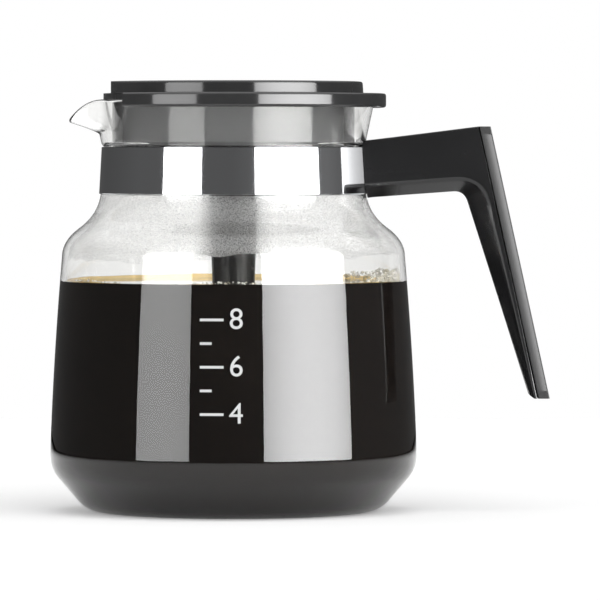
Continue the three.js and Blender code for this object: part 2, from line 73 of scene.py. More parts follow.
belly_z = BEVEL_HEIGHT + BELLY_ROUND
shoulder_z = belly_z + SIDE_HEIGHT
band_foot_z = shoulder_z + SHOULDER_HEIGHT
band_top_z = band_foot_z + BAND_HEIGHT
rim_z = band_top_z + FLARE_HEIGHT
rim_radius = NECK_RADIUS + RIM_FLARE
neck_foot_radius = NECK_RADIUS + NECK_TAPER / 2
neck_top_radius = NECK_RADIUS - NECK_TAPER / 2
band_skin = FIT + BAND_THICKNESS


def linear(colour):
    """Turns an sRGB hex colour into linear red, green, blue and alpha."""
    shares = [int(colour[i : i + 2], 16) / 255 for i in (1, 3, 5)]
    return [s / 12.92 if s <= 0.04045 else ((s + 0.055) / 1.055) ** 2.4 for s in shares] + [1.0]


def add_node(tree, kind, inputs=None, **settings):
    """Adds a node with its settings, and fills its inputs with values or links to other nodes' outputs."""
    made = tree.nodes.new(kind)
    for name, value in settings.items():
        setattr(made, name, value)
    for name, value in (inputs or {}).items():
        if isinstance(value, bpy.types.NodeSocket):
            tree.links.new(value, made.inputs[name])
        else:
            made.inputs[name].default_value = value
    return made


def new_material(name):
    """Starts an empty node material and gives it back with its tree."""
    material = bpy.data.materials.new(name)
    material.use_nodes = True
    material.node_tree.nodes.clear()
    return material, material.node_tree


def new_tree(name, sizes):
    """Starts a geometry tree that takes a shape and named sizes, and gives it back with its input node."""
    tree = bpy.data.node_groups.new(name, "GeometryNodeTree")
    tree.interface.new_socket("Geometry", in_out="OUTPUT", socket_type="NodeSocketGeometry")
    tree.interface.new_socket("Geometry", in_out="INPUT", socket_type="NodeSocketGeometry")
    for size, value in sizes.items():
        kind = "NodeSocketInt" if isinstance(value, int) else "NodeSocketFloat"
        tree.interface.new_socket(size, in_out="INPUT", socket_type=kind)
    return tree, add_node(tree, "NodeGroupInput")


def settle(piece):
    """Keeps what a piece's modifiers make as its plain mesh."""
    graph = bpy.context.evaluated_depsgraph_get()
    mesh = bpy.data.meshes.new_from_object(piece.evaluated_get(graph))
    piece.modifiers.clear()
    piece.data = mesh


def grow(piece, tree, sizes):
    """Runs a geometry tree with its sizes on a piece and keeps the result."""
    modifier = piece.modifiers.new(tree.name, "NODES")
    modifier.node_group = tree
    for socket in tree.interface.items_tree:
        if socket.in_out == "INPUT" and socket.name in sizes:
            modifier[socket.identifier] = sizes[socket.name]
    settle(piece)


def new_object(name, data):
    """Adds an object to the scene, at the origin."""
    made = bpy.data.objects.new(name, data)
    bpy.context.scene.collection.objects.link(made)
    return made


def piece_from(name, shape):
    """Makes an object at the origin from a mesh under construction."""
    mesh = bpy.data.meshes.new(name)
    shape.to_mesh(mesh)
    shape.free()
    return new_object(name, mesh)


def shade(piece, material, limit=35):
    """Gives a piece its material and smooth shading, with creases where faces turn by more than the limit."""
    piece.data.materials.clear()
    piece.data.materials.append(material)
    piece.data.polygons.foreach_set("use_smooth", [True] * len(piece.data.polygons))
    piece.data.set_sharp_from_angle(angle=math.radians(limit))


def thicken(piece, depth, even=False):
    """Gives a sheet its thickness, behind the side that its faces point to."""
    wall = piece.modifiers.new("thickness", "SOLIDIFY")
    wall.thickness = depth
    wall.offset = -1
    wall.use_even_offset = even
    settle(piece)


def round_edges(piece, width, steps, limit=50):
    """Rounds every edge of a piece that is sharper than the limit."""
    bevel = piece.modifiers.new("rounded edges", "BEVEL")
    bevel.width = width
    bevel.segments = steps
    bevel.limit_method = "ANGLE"
    bevel.angle_limit = math.radians(limit)
    settle(piece)


def bend(start, pull, end, steps):
    """Points of a soft curve from start towards pull and on to end, without its first point."""
    shares = [i / steps for i in range(1, steps + 1)]
    return [(1 - t) ** 2 * start + 2 * t * (1 - t) * pull + t * t * end for t in shares]


def straight(start, end, steps):
    """Points of a straight line, without its first point."""
    return bend(start, (start + end) / 2, end, steps)


def jug_outline():
    """Outer outline of the jug as radius and height, from the middle of the foot to the rim."""
    middle = Vector((0, 0))
    foot = Vector((FOOT_RADIUS, 0))
    bevel_foot = Vector((FOOT_RADIUS + FOOT_ROUND, 0))
    bevel_head = Vector((BELLY_RADIUS, BEVEL_HEIGHT))
    run = (bevel_head - bevel_foot).normalized()
    bevel_start = bevel_foot + run * FOOT_ROUND
    bevel_end = bevel_head - run * BELLY_ROUND
    belly = Vector((BELLY_RADIUS, belly_z))
    side = Vector(((BELLY_RADIUS + SHOULDER_RADIUS) / 2 + 2 * SIDE_BULGE, (belly_z + shoulder_z) / 2))
    shoulder = Vector((SHOULDER_RADIUS, shoulder_z))
    crown = Vector((SHOULDER_RADIUS, shoulder_z + SHOULDER_HEIGHT / 4))
    throat = Vector((neck_foot_radius + 5 * FIT, band_foot_z - SHOULDER_HEIGHT / 3))
    turn = (crown + throat) / 2
    ledge = Vector((neck_foot_radius + FIT, band_foot_z - FIT))
    neck_foot = Vector((neck_foot_radius, band_foot_z + 3 * FIT))
    neck_top = Vector((neck_top_radius, band_top_z))
    rim = Vector((rim_radius, rim_z - RIM_CREST))
    knee = Vector((neck_top_radius + band_skin, band_top_z + band_skin))
    flare = knee.lerp(rim, FLARE_TURN)
    crest = rim + (rim - flare).normalized() * RIM_CREST
    points = [middle] + straight(middle, foot, 5)
    points += bend(foot, bevel_foot, bevel_start, 7)
    points += straight(bevel_start, bevel_end, 5)
    points += bend(bevel_end, bevel_head, belly, 8)
    points += bend(belly, side, shoulder, 26)
    points += bend(shoulder, crown, turn, 12)
    points += bend(turn, throat, ledge, 12)
    points += straight(ledge, neck_foot, 3)
    points += straight(neck_foot, neck_top, 6)
    points += bend(neck_top, knee, flare, 6) + straight(flare, rim, 14)
    return points + [crest]


glass, tree = new_material("borosilicate_glass")
# Fire-polished and clear, with the faint waves that blowing leaves about 30 mm apart
place = add_node(tree, "ShaderNodeTexCoord")
waves = add_node(
    tree, "ShaderNodeTexNoise", {"Vector": place.outputs["Object"], "Scale": 1 / (30 * MM), "Detail": 1.0}
)
ripple = add_node(
    tree, "ShaderNodeBump", {"Height": waves.outputs[0], "Strength": 0.12, "Distance": 0.4 * MM}
)
surface = add_node(
    tree,
    "ShaderNodeBsdfPrincipled",
    {
        "Base Color": linear("#fefefd"),
        "Roughness": 0.0,
        "IOR": 1.47,
        "Transmission Weight": 1.0,
        "Normal": ripple.outputs["Normal"],
    },
)
add_node(tree, "ShaderNodeOutputMaterial", {"Surface": surface.outputs["BSDF"]})

jug_sizes = {
    "Turns": JUG_TURNS,
    "Gather": SPOUT_GATHER,
    "Spout reach": SPOUT_REACH,
    "Spout drop": SPOUT_DROP,
    "Spout half angle": SPOUT_HALF_ANGLE,
    "Spout curl": SPOUT_CURL,
    "Spout root": band_top_z + SPOUT_ROOT_HEIGHT,
    "Rim height": rim_z,
}
tree, given = new_tree("turned_jug_with_pulled_spout", jug_sizes)
size = given.outputs
rows = add_node(
    tree, "GeometryNodeAttributeDomainSize", {"Geometry": size["Geometry"]}
).outputs["Point Count"]
columns = add_node(tree, "ShaderNodeMath", {0: size["Turns"], 1: 1.0}, operation="ADD").outputs[0]
sheet = add_node(
    tree, "GeometryNodeMeshGrid", {"Size X": 1.0, "Size Y": 1.0, "Vertices X": columns, "Vertices Y": rows}
)
index = add_node(tree, "GeometryNodeInputIndex").outputs[0]
row = add_node(tree, "ShaderNodeMath", {0: index, 1: rows}, operation="MODULO").outputs[0]
column = add_node(tree, "ShaderNodeMath", {0: index, 1: rows}, operation="DIVIDE").outputs[0]
column = add_node(tree, "ShaderNodeMath", {0: column}, operation="FLOOR").outputs[0]
share = add_node(tree, "ShaderNodeMath", {0: column, 1: size["Turns"]}, operation="DIVIDE").outputs[0]
turn = add_node(tree, "ShaderNodeMath", {0: share, 1: 2 * math.pi}, operation="MULTIPLY").outputs[0]
sway = add_node(tree, "ShaderNodeMath", {0: turn}, operation="SINE").outputs[0]
angle = add_node(
    tree, "ShaderNodeMath", {0: sway, 1: size["Gather"], 2: turn}, operation="MULTIPLY_ADD"
).outputs[0]
spot = add_node(tree, "GeometryNodeInputPosition").outputs[0]
drawn = add_node(
    tree,
    "GeometryNodeSampleIndex",
    {"Geometry": size["Geometry"], "Value": spot, "Index": row},
    data_type="FLOAT_VECTOR",
    domain="POINT",
)
drawn = add_node(tree, "ShaderNodeSeparateXYZ", {0: drawn.outputs["Value"]})
aside = add_node(tree, "ShaderNodeMath", {0: angle, 1: math.pi}, operation="SUBTRACT").outputs[0]
aside = add_node(
    tree, "ShaderNodeMath", {0: aside, 1: size["Spout half angle"]}, operation="DIVIDE"
).outputs[0]
aside = add_node(tree, "ShaderNodeMath", {0: aside, 1: aside}, operation="MULTIPLY").outputs[0]
pull = add_node(tree, "ShaderNodeMath", {0: 1.0, 1: aside}, operation="SUBTRACT").outputs[0]
pull = add_node(tree, "ShaderNodeMath", {0: pull, 1: 0.0}, operation="MAXIMUM").outputs[0]
pull = add_node(tree, "ShaderNodeMath", {0: pull, 1: pull}, operation="MULTIPLY").outputs[0]
above = add_node(
    tree, "ShaderNodeMath", {0: drawn.outputs["Z"], 1: size["Spout root"]}, operation="SUBTRACT"
).outputs[0]
span = add_node(
    tree, "ShaderNodeMath", {0: size["Rim height"], 1: size["Spout root"]}, operation="SUBTRACT"
).outputs[0]
rise = add_node(tree, "ShaderNodeMath", {0: above, 1: span}, operation="DIVIDE").outputs[0]
rise = add_node(tree, "ShaderNodeMath", {0: rise, 1: 0.0}, operation="MAXIMUM").outputs[0]
curl = add_node(tree, "ShaderNodeMath", {0: rise, 1: size["Spout curl"]}, operation="POWER").outputs[0]
reach = add_node(tree, "ShaderNodeMath", {0: curl, 1: pull}, operation="MULTIPLY").outputs[0]
reach = add_node(
    tree,
    "ShaderNodeMath",
    {0: reach, 1: size["Spout reach"], 2: drawn.outputs["X"]},
    operation="MULTIPLY_ADD",
).outputs[0]
drop = add_node(tree, "ShaderNodeMath", {0: pull, 1: pull}, operation="MULTIPLY").outputs[0]
drop = add_node(tree, "ShaderNodeMath", {0: drop, 1: rise}, operation="MULTIPLY").outputs[0]
drop = add_node(
    tree, "ShaderNodeMath", {0: drop, 1: size["Spout drop"]}, operation="MULTIPLY"
).outputs[0]
height = add_node(
    tree, "ShaderNodeMath", {0: drawn.outputs["Z"], 1: drop}, operation="SUBTRACT"
).outputs[0]
east = add_node(tree, "ShaderNodeMath", {0: angle}, operation="COSINE").outputs[0]
east = add_node(tree, "ShaderNodeMath", {0: east, 1: reach}, operation="MULTIPLY").outputs[0]
north = add_node(tree, "ShaderNodeMath", {0: angle}, operation="SINE").outputs[0]
north = add_node(tree, "ShaderNodeMath", {0: north, 1: reach}, operation="MULTIPLY").outputs[0]
goal = add_node(tree, "ShaderNodeCombineXYZ", {0: east, 1: north, 2: height})
wall = add_node(
    tree, "GeometryNodeSetPosition", {"Geometry": sheet.outputs["Mesh"], "Position": goal.outputs[0]}
)
wall = add_node(
    tree, "GeometryNodeMergeByDistance", {"Geometry": wall.outputs["Geometry"], "Distance": WELD}
)
wall = add_node(tree, "GeometryNodeRealizeInstances", {"Geometry": wall.outputs["Geometry"]})
wall = add_node(tree, "GeometryNodeSetMaterial", {"Geometry": wall.outputs["Geometry"], "Material": glass})
add_node(tree, "NodeGroupOutput", {"Geometry": wall.outputs["Geometry"]})

outline = bmesh.new()
for point in jug_outline():
    outline.verts.new((point.x, 0, point.y))
jug = piece_from("blown_glass_jug", outline)
grow(jug, tree, jug_sizes)
thicken(jug, GLASS_WALL, even=True)
round_edges(jug, RIM_ROUND, steps=4)
shade(jug, glass, limit=60)
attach(jug, "jug")
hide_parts("glass_jug")

# Level marks
# Cup marks printed on the front of the jug in white ceramic enamel, which is fired into the glass.
# A bar stands at every cup, and every second one is longer and has its plain number beside it.
FIRST_CUP = 4
LAST_CUP = 8
CUP_RISE = 8.9 * MM
CUPS_FOOT = 5 * MM
MARK_LENGTH = 9 * MM
MARK_HEIGHT = 1 * MM
FIGURE_TYPE_SIZE = 11.2 * MM
FIGURE_GAP = 2 * MM
PRINT_THICKNESS = 0.05 * MM
PRINT_MIDDLE = -3 * MM


def jug_radius(height):
    """Outer radius of the jug at a height on its side."""
    share = (height - belly_z) / SIDE_HEIGHT
    middle = (BELLY_RADIUS + SHOULDER_RADIUS) / 2 + 2 * SIDE_BULGE
    return (1 - share) ** 2 * BELLY_RADIUS + 2 * share * (1 - share) * middle + share**2 * SHOULDER_RADIUS


def wrap_print(piece):
    """Bends a flat print, drawn in X and Y with its thickness in Z, round the front of the jug."""
    for vertex in piece.data.vertices:
        across, height, depth = vertex.co
        radius = jug_radius(height) + depth
        turn = across / radius
        vertex.co = (radius * math.sin(turn), -radius * math.cos(turn), height)


enamel, tree = new_material("white_ceramic_enamel")
# Screen-printed, so that it is even, slightly rough, and thins out in fine pinholes about 0.3 mm apart
place = add_node(tree, "ShaderNodeTexCoord")
grains = add_node(
    tree, "ShaderNodeTexNoise", {"Vector": place.outputs["Object"], "Scale": 1 / (0.3 * MM), "Detail": 2.0}
)
tone = add_node(tree, "ShaderNodeValToRGB", {"Fac": grains.outputs[0]})
tone.color_ramp.elements[0].color = linear("#d9dbdb")
tone.color_ramp.elements[1].color = linear("#f2f3f3")
surface = add_node(
    tree, "ShaderNodeBsdfPrincipled", {"Base Color": tone.outputs["Color"], "Roughness": 0.45, "IOR": 1.5}
)
add_node(tree, "ShaderNodeOutputMaterial", {"Surface": surface.outputs["BSDF"]})

marks = bmesh.new()
for cup in range(FIRST_CUP, LAST_CUP + 1):
    length = MARK_LENGTH if cup % 2 == 0 else MARK_LENGTH / 2
    made = bmesh.ops.create_grid(marks, x_segments=6, y_segments=1, size=0.5)
    left = PRINT_MIDDLE - MARK_LENGTH
    for vertex in made["verts"]:
        across = left + (vertex.co.x + 0.5) * length
        vertex.co = (across, CUPS_FOOT + cup * CUP_RISE + vertex.co.y * MARK_HEIGHT, 2 * PRINT_THICKNESS)
bars = piece_from("level_bars", marks)
thicken(bars, PRINT_THICKNESS)
wrap_print(bars)
shade(bars, enamel)
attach(bars, "jug")
for cup in range(FIRST_CUP, LAST_CUP + 1, 2):
    typed = bpy.data.curves.new(f"level_figure_{cup}", "FONT")
    typed.body = str(cup)
    typed.size = FIGURE_TYPE_SIZE
    typed.extrude = PRINT_THICKNESS / 2
    typed.align_y = "CENTER"
    flat = new_object("flat figure", typed)
    graph = bpy.context.evaluated_depsgraph_get()
    shape = bmesh.new()
    shape.from_mesh(bpy.data.meshes.new_from_object(flat.evaluated_get(graph)))
    bpy.data.objects.remove(flat)
    bmesh.ops.remove_doubles(shape, verts=shape.verts, dist=WELD)
    bmesh.ops.recalc_face_normals(shape, faces=shape.faces)
    place = (PRINT_MIDDLE + FIGURE_GAP, CUPS_FOOT + cup * CUP_RISE, 1.5 * PRINT_THICKNESS)
    bmesh.ops.translate(shape, verts=shape.verts, vec=place)
    figure = piece_from(f"level_figure_{cup}", shape)
    wrap_print(figure)
    shade(figure, enamel)
    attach(figure, "jug")

# Neck band
# A strip of polished stainless steel bent round the neck and split under the handle.
# Its two ends turn out into ears, which the clamp draws together inside the handle's arm.
EAR_LENGTH = 16 * MM
EAR_GAP = 8 * MM
EAR_HEIGHT = 13 * MM
EAR_WINDOW_LENGTH = 6 * MM
EAR_WINDOW_HEIGHT = 8 * MM
EAR_END = 2.5 * MM
EAR_SHARES = (0, 0.5, 0.97)
BAND_TURNS = 180

band_radius = NECK_RADIUS + band_skin
band_middle_z = (band_foot_z + band_top_z) / 2
ear_tip_x = band_radius + EAR_LENGTH
window_end_x = ear_tip_x - EAR_END
strip_radius = band_radius - BAND_THICKNESS / 2
ear_y = (EAR_GAP + BAND_THICKNESS) / 2
root_turn = math.asin(ear_y / strip_radius)
root_x = strip_radius * math.cos(root_turn)
ear_foot = band_middle_z - EAR_HEIGHT / 2
ear_head = band_middle_z + EAR_HEIGHT / 2


def skinned(rings):
    """Skins a row of closed rings with equal numbers of points, and closes both ends."""
    shape = bmesh.new()
    made = [[shape.verts.new(point) for point in ring] for ring in rings]
    for below, above in zip(made, made[1:]):
        for i in range(len(below)):
            j = (i + 1) % len(below)
            shape.faces.new((below[i], below[j], above[j], above[i]))
    shape.faces.new(reversed(made[0]))
    shape.faces.new(made[-1])
    bmesh.ops.recalc_face_normals(shape, faces=shape.faces)
    return shape


def block(name, low, high):
    """A box between two corners."""
    shape = bmesh.new()
    bmesh.ops.create_cube(shape, size=1)
    for vertex in shape.verts:
        vertex.co = [low[i] if vertex.co[i] < 0 else high[i] for i in range(3)]
    return piece_from(name, shape)


def carve(piece, tool, operation="DIFFERENCE"):
    """Cuts a tool out of a piece, or joins it on, and puts the tool away."""
    cut = piece.modifiers.new("carve", "BOOLEAN")
    cut.operation = operation
    cut.solver = "EXACT"
    cut.object = tool
    settle(piece)
    bpy.data.objects.remove(tool)


def flatten_shading(piece):
    """Lets the large faces rule the shading, so that the small rounds at their edges don't bend it."""
    even = piece.modifiers.new("even shading", "WEIGHTED_NORMAL")
    even.keep_sharp = True
    settle(piece)


def band_ring(out, along, low, high):
    """One section of the strip: along is where its middle runs, out points away from its face."""
    half = BAND_THICKNESS / 2
    soft = BAND_THICKNESS / 3
    heights = [low, low, low + soft, high - soft, high, high]
    depths = [-half + soft, half - soft, half, half, half - soft, -half + soft]
    loop = list(zip(heights, depths)) + [(high - soft, -half), (low + soft, -half)]
    ring = []
    for height, depth in loop:
        lean = NECK_TAPER * (band_middle_z - height) / BAND_HEIGHT
        spot = along + out * (depth + lean)
        ring.append((spot.x, spot.y, height))
    return ring


def ear_ring(share, side):
    """One section of an ear, between its tip at 0 and its root at 1, on one side of the split."""
    spot = Vector((ear_tip_x + share * (root_x - ear_tip_x), side * ear_y))
    return band_ring(Vector((0, side)), spot, ear_foot, ear_head)


steel, tree = new_material("polished_stainless_steel")
# Buffed to a mirror, with faint lines left round the strip about 0.4 mm apart
place = add_node(tree, "ShaderNodeTexCoord")
flow = add_node(tree, "ShaderNodeMapping", {"Vector": place.outputs["Object"], "Scale": (0.03, 0.03, 1.0)})
lines = add_node(
    tree, "ShaderNodeTexNoise", {"Vector": flow.outputs["Vector"], "Scale": 1 / (0.4 * MM), "Detail": 3.0}
)
sheen = add_node(
    tree, "ShaderNodeMapRange", {"Value": lines.outputs[0], "To Min": 0.03, "To Max": 0.07}
)
surface = add_node(
    tree,
    "ShaderNodeBsdfPrincipled",
    {"Base Color": linear("#cfd0d2"), "Metallic": 1.0, "Roughness": sheen.outputs["Result"]},
)
add_node(tree, "ShaderNodeOutputMaterial", {"Surface": surface.outputs["BSDF"]})

rings = [ear_ring(share, 1) for share in EAR_SHARES]
for i in range(BAND_TURNS + 1):
    turn = root_turn + (2 * math.pi - 2 * root_turn) * i / BAND_TURNS
    out = Vector((math.cos(turn), math.sin(turn)))
    rings.append(band_ring(out, out * strip_radius, band_foot_z, band_top_z))
rings += [ear_ring(share, -1) for share in reversed(EAR_SHARES)]
band = piece_from("steel_neck_band", skinned(rings))
window_low = (window_end_x - EAR_WINDOW_LENGTH, -EAR_GAP, band_middle_z - EAR_WINDOW_HEIGHT / 2)
window_high = (window_end_x, EAR_GAP, band_middle_z + EAR_WINDOW_HEIGHT / 2)
carve(band, block("ear windows", window_low, window_high))
shade(band, steel, limit=40)
flatten_shading(band)
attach(band, "jug")
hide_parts("neck_band")

# Clamp
# A zinc-plated screw, its washer and a nut block that hangs in the ears' windows.
# Their solids stay as they are, out of sight in the handle, and get the dull silver of passivated zinc.
zinc, tree = new_material("zinc_plated_steel")
# Barrel-plated: crystals about 0.6 mm across vary its tone and its gloss
place = add_node(tree, "ShaderNodeTexCoord")
crystals = add_node(
    tree, "ShaderNodeTexVoronoi", {"Vector": place.outputs["Object"], "Scale": 1 / (0.6 * MM)}
)
tone = add_node(tree, "ShaderNodeValToRGB", {"Fac": crystals.outputs["Distance"]})
tone.color_ramp.elements[0].color = linear("#b4b7ba")
tone.color_ramp.elements[1].color = linear("#8e9398")
sheen = add_node(
    tree, "ShaderNodeMapRange", {"Value": crystals.outputs["Distance"], "To Min": 0.28, "To Max": 0.45}
)
surface = add_node(
    tree,
    "ShaderNodeBsdfPrincipled",
    {"Base Color": tone.outputs["Color"], "Metallic": 1.0, "Roughness": sheen.outputs["Result"]},
)
add_node(tree, "ShaderNodeOutputMaterial", {"Surface": surface.outputs["BSDF"]})
for name in ("clamp_screw", "clamp_washer", "clamp_nut"):
    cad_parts[name].material_slots[0].material = zinc

# Handle
# One black polypropylene moulding: an arm that reaches from the band and a grip that leans outwards.
# Its inner edges are broadly bevelled for the fingers, and slots inside take the ears, the nut and the screw.
HANDLE_WIDTH = 22 * MM
HANDLE_EDGE = 0.5 * MM
HANDLE_EDGE_STEPS = 6
HANDLE_END_ROUND = 0.4 * MM
ARM_LIP_ABOVE = 2.4 * MM
ARM_LIP_BELOW = 1.5 * MM
ARM_REACH = 47.8 * MM
ARM_RISE = 5.5 * MM
ARM_DEPTH = 24.8 * MM
ARM_TOP_SHARE = 0.8
GRIP_DROP = 105.2 * MM
GRIP_LEAN = math.radians(12.3)
GRIP_DEPTH = 15.3 * MM
GRIP_END_DEPTH = 7.2 * MM
GRIP_END_CHAMFER = 1.2 * MM
INNER_FILLET = 4.5 * MM
INNER_BEVEL_DEPTH = 5.8 * MM
INNER_BEVEL_WIDTH = 7 * MM
INNER_BEVEL_SLOPE = 1.1
BEVEL_SOFTNESS = 0.2
BEVEL_TURN = 15 * MM
BEVEL_FALL = 18 * MM
BEVEL_SIDE = 0.8 * MM
COVER_DEPTH = 4.4 * MM
CHANNEL_WIDTH = 11 * MM
CHANNEL_HEAD = 6 * MM
CHANNEL_FOOT = 30 * MM
GRIP_WALL = 3.2 * MM
NUT_LUG = 1 * MM
SCREW_RADIUS = 2 * MM
WASHER_RADIUS = 4.5 * MM
SCREW_BOSS = 14 * MM
OVERCUT = 1 * MM

grip_top_z = band_top_z + ARM_LIP_ABOVE + ARM_RISE
grip_end_z = grip_top_z - GRIP_DROP
corner_z = grip_top_z - ARM_DEPTH
depth_run = (GRIP_DEPTH - GRIP_END_DEPTH) / (corner_z - grip_end_z)


def back_x(height):
    """Where the back of the grip is at a height."""
    return band_radius + ARM_REACH + (grip_top_z - height) * math.tan(GRIP_LEAN)


def seam_x(height):
    """Where the handle ends in front of its back cover."""
    return back_x(height) - COVER_DEPTH - FIT


def inner_x(height):
    """Where the inner edge of the grip is at a height."""
    return back_x(height) - GRIP_END_DEPTH - (height - grip_end_z) * depth_run


def handle_ring(inner, border, outer):
    """One section of the handle: a bevel from inner edge to border, a flat side and a small outer edge."""
    half = HANDLE_WIDTH / 2
    width = min(INNER_BEVEL_WIDTH, INNER_BEVEL_SLOPE * (border - inner).length)
    start = Vector((inner.x, half - width, inner.y))
    crease = Vector((border.x, half, border.y)).lerp(Vector((inner.x, half, inner.y)), BEVEL_SOFTNESS)
    near = start.lerp(crease, 1 - BEVEL_SOFTNESS)
    side = [start] + straight(start, near, 4) + bend(near, crease, Vector((border.x, half, border.y)), 6)
    run = (outer - border).normalized()
    for i in range(HANDLE_EDGE_STEPS + 1):
        turn = math.pi / 2 * i / HANDLE_EDGE_STEPS
        spot = outer - run * HANDLE_EDGE * (1 - math.sin(turn))
        side.append(Vector((spot.x, half - HANDLE_EDGE * (1 - math.cos(turn)), spot.y)))
    return side + [Vector((point.x, -point.y, point.z)) for point in reversed(side)]


def upright(x, z):
    """A point of the handle's side view."""
    return Vector((x, z))


def rod(name, start, end, radius):
    """A round bar along X at the height of the clamp screw."""
    shape = bmesh.new()
    bmesh.ops.create_cone(
        shape, cap_ends=True, segments=40, radius1=radius, radius2=radius, depth=end - start
    )
    for vertex in shape.verts:
        across, aside, along = vertex.co
        vertex.co = ((start + end) / 2 + along, aside, band_middle_z + across)
    bmesh.ops.recalc_face_normals(shape, faces=shape.faces)
    return piece_from(name, shape)


polypropylene, tree = new_material("black_moulded_polypropylene")
# Spark-eroded mould: a satin grain about 0.35 mm across, and broader patches that shine a little more
place = add_node(tree, "ShaderNodeTexCoord")
grain = add_node(
    tree, "ShaderNodeTexNoise", {"Vector": place.outputs["Object"], "Scale": 1 / (0.35 * MM), "Detail": 2.0}
)
patches = add_node(
    tree, "ShaderNodeTexNoise", {"Vector": place.outputs["Object"], "Scale": 1 / (18 * MM), "Detail": 2.0}
)
tone = add_node(tree, "ShaderNodeValToRGB", {"Fac": patches.outputs[0]})
tone.color_ramp.elements[0].color = linear("#1c1c1d")
tone.color_ramp.elements[1].color = linear("#212122")
sheen = add_node(
    tree, "ShaderNodeMapRange", {"Value": patches.outputs[0], "To Min": 0.16, "To Max": 0.21}
)
skin = add_node(
    tree, "ShaderNodeBump", {"Height": grain.outputs[0], "Strength": 0.12, "Distance": 0.05 * MM}
)
surface = add_node(
    tree,
    "ShaderNodeBsdfPrincipled",
    {
        "Base Color": tone.outputs["Color"],
        "Roughness": sheen.outputs["Result"],
        "IOR": 1.5,
        "Normal": skin.outputs["Normal"],
    },
)
add_node(tree, "ShaderNodeOutputMaterial", {"Surface": surface.outputs["BSDF"]})

arm_foot = upright(NECK_RADIUS, band_foot_z - ARM_LIP_BELOW)
arm_head = upright(NECK_RADIUS, band_top_z + ARM_LIP_ABOVE)
corner = upright(inner_x(corner_z), corner_z)
inner_end = upright(inner_x(grip_end_z), grip_end_z)
fillet_arm = corner + (arm_foot - corner).normalized() * INNER_FILLET
fillet_grip = corner + (inner_end - corner).normalized() * INNER_FILLET
peak = upright(seam_x(grip_top_z), grip_top_z)
arm_back = arm_head.lerp(peak, ARM_TOP_SHARE)
grip_back = upright(seam_x(fillet_grip.y), fillet_grip.y)
chamfer_z = grip_end_z + GRIP_END_CHAMFER
inner_line = [arm_foot] + straight(arm_foot, fillet_arm, 10) + bend(fillet_arm, corner, fillet_grip, 12)
inner_line += straight(fillet_grip, upright(inner_x(chamfer_z), chamfer_z), 20)
inner_line.append(upright(inner_x(grip_end_z) + GRIP_END_CHAMFER, grip_end_z))
outer_line = [arm_head] + straight(arm_head, arm_back, 10) + straight(arm_back, peak, 6)
outer_line += straight(peak, grip_back, 6) + straight(grip_back, upright(seam_x(chamfer_z), chamfer_z), 20)
outer_line.append(upright(seam_x(grip_end_z), grip_end_z))
arm_run = (corner - arm_foot).normalized()
border_foot = arm_foot + upright(0, INNER_BEVEL_DEPTH)
border_corner = border_foot + arm_run * (peak.x + ARM_RISE - border_foot.x)
border_arm = border_corner - arm_run * BEVEL_TURN
turn_z = border_corner.y - BEVEL_FALL
border_grip = upright(seam_x(turn_z) - BEVEL_SIDE, turn_z)
border_line = [border_foot] + straight(border_foot, border_arm, 10)
border_line += bend(border_arm, border_corner, border_grip, 12)
border_line += straight(border_grip, upright(seam_x(chamfer_z) - BEVEL_SIDE, chamfer_z), 20)
border_line.append(upright(seam_x(grip_end_z) - BEVEL_SIDE, grip_end_z))
rings = [handle_ring(*points) for points in zip(inner_line, border_line, outer_line)]
for point in rings[0]:
    share = (point.z - arm_foot.y) / (arm_head.y - arm_foot.y)
    clear = neck_foot_radius + band_skin + FIT / 2 - share * (NECK_TAPER + FIT / 2)
    point.x = math.sqrt(clear**2 - point.y**2)
handle = piece_from("moulded_handle", skinned(rings))
round_edges(handle, HANDLE_END_ROUND, steps=2, limit=55)
slot_end_x = ear_tip_x + EAR_END
pocket_x = slot_end_x + SCREW_BOSS
lugs = EAR_GAP / 2 + BAND_THICKNESS + NUT_LUG + FIT
slot_half = EAR_HEIGHT / 2 + FIT
slot_low = (0, -lugs, band_middle_z - slot_half)
slot_high = (slot_end_x, lugs, band_middle_z + slot_half)
carve(handle, block("ear slot", slot_low, slot_high))
channel_head_z = grip_top_z - CHANNEL_HEAD
channel_foot_z = grip_end_z + CHANNEL_FOOT


def channel_ring(height, start, end, width):
    """A rectangle at a height, from one X to another."""
    half = width / 2
    return [(start, -half, height), (end, -half, height), (end, half, height), (start, half, height)]


ends = []
for height in (channel_foot_z, channel_head_z):
    ends.append(channel_ring(height, inner_x(height) + GRIP_WALL, back_x(height), CHANNEL_WIDTH))
carve(handle, piece_from("channel", skinned(ends)))
carve(handle, rod("screw bore", slot_end_x - OVERCUT, pocket_x + OVERCUT, SCREW_RADIUS + FIT))
carve(handle, rod("head pocket", pocket_x, back_x(band_middle_z), WASHER_RADIUS + FIT))
shade(handle, polypropylene, limit=18)
flatten_shading(handle)
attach(handle, "jug")
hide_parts("handle_body")

# Back cover
# A moulded strip that closes the channel down the back of the grip, of the same plastic as the handle.
# Its back edges are rounded between two square lips, and a tongue plugs it into the channel.
COVER_ROUND = 3.6 * MM
COVER_SLANT = 0.35
COVER_LIP = 3 * MM
COVER_STEPS = 16
CORNER_STEPS = 8
TONGUE_DEPTH = 1.6 * MM


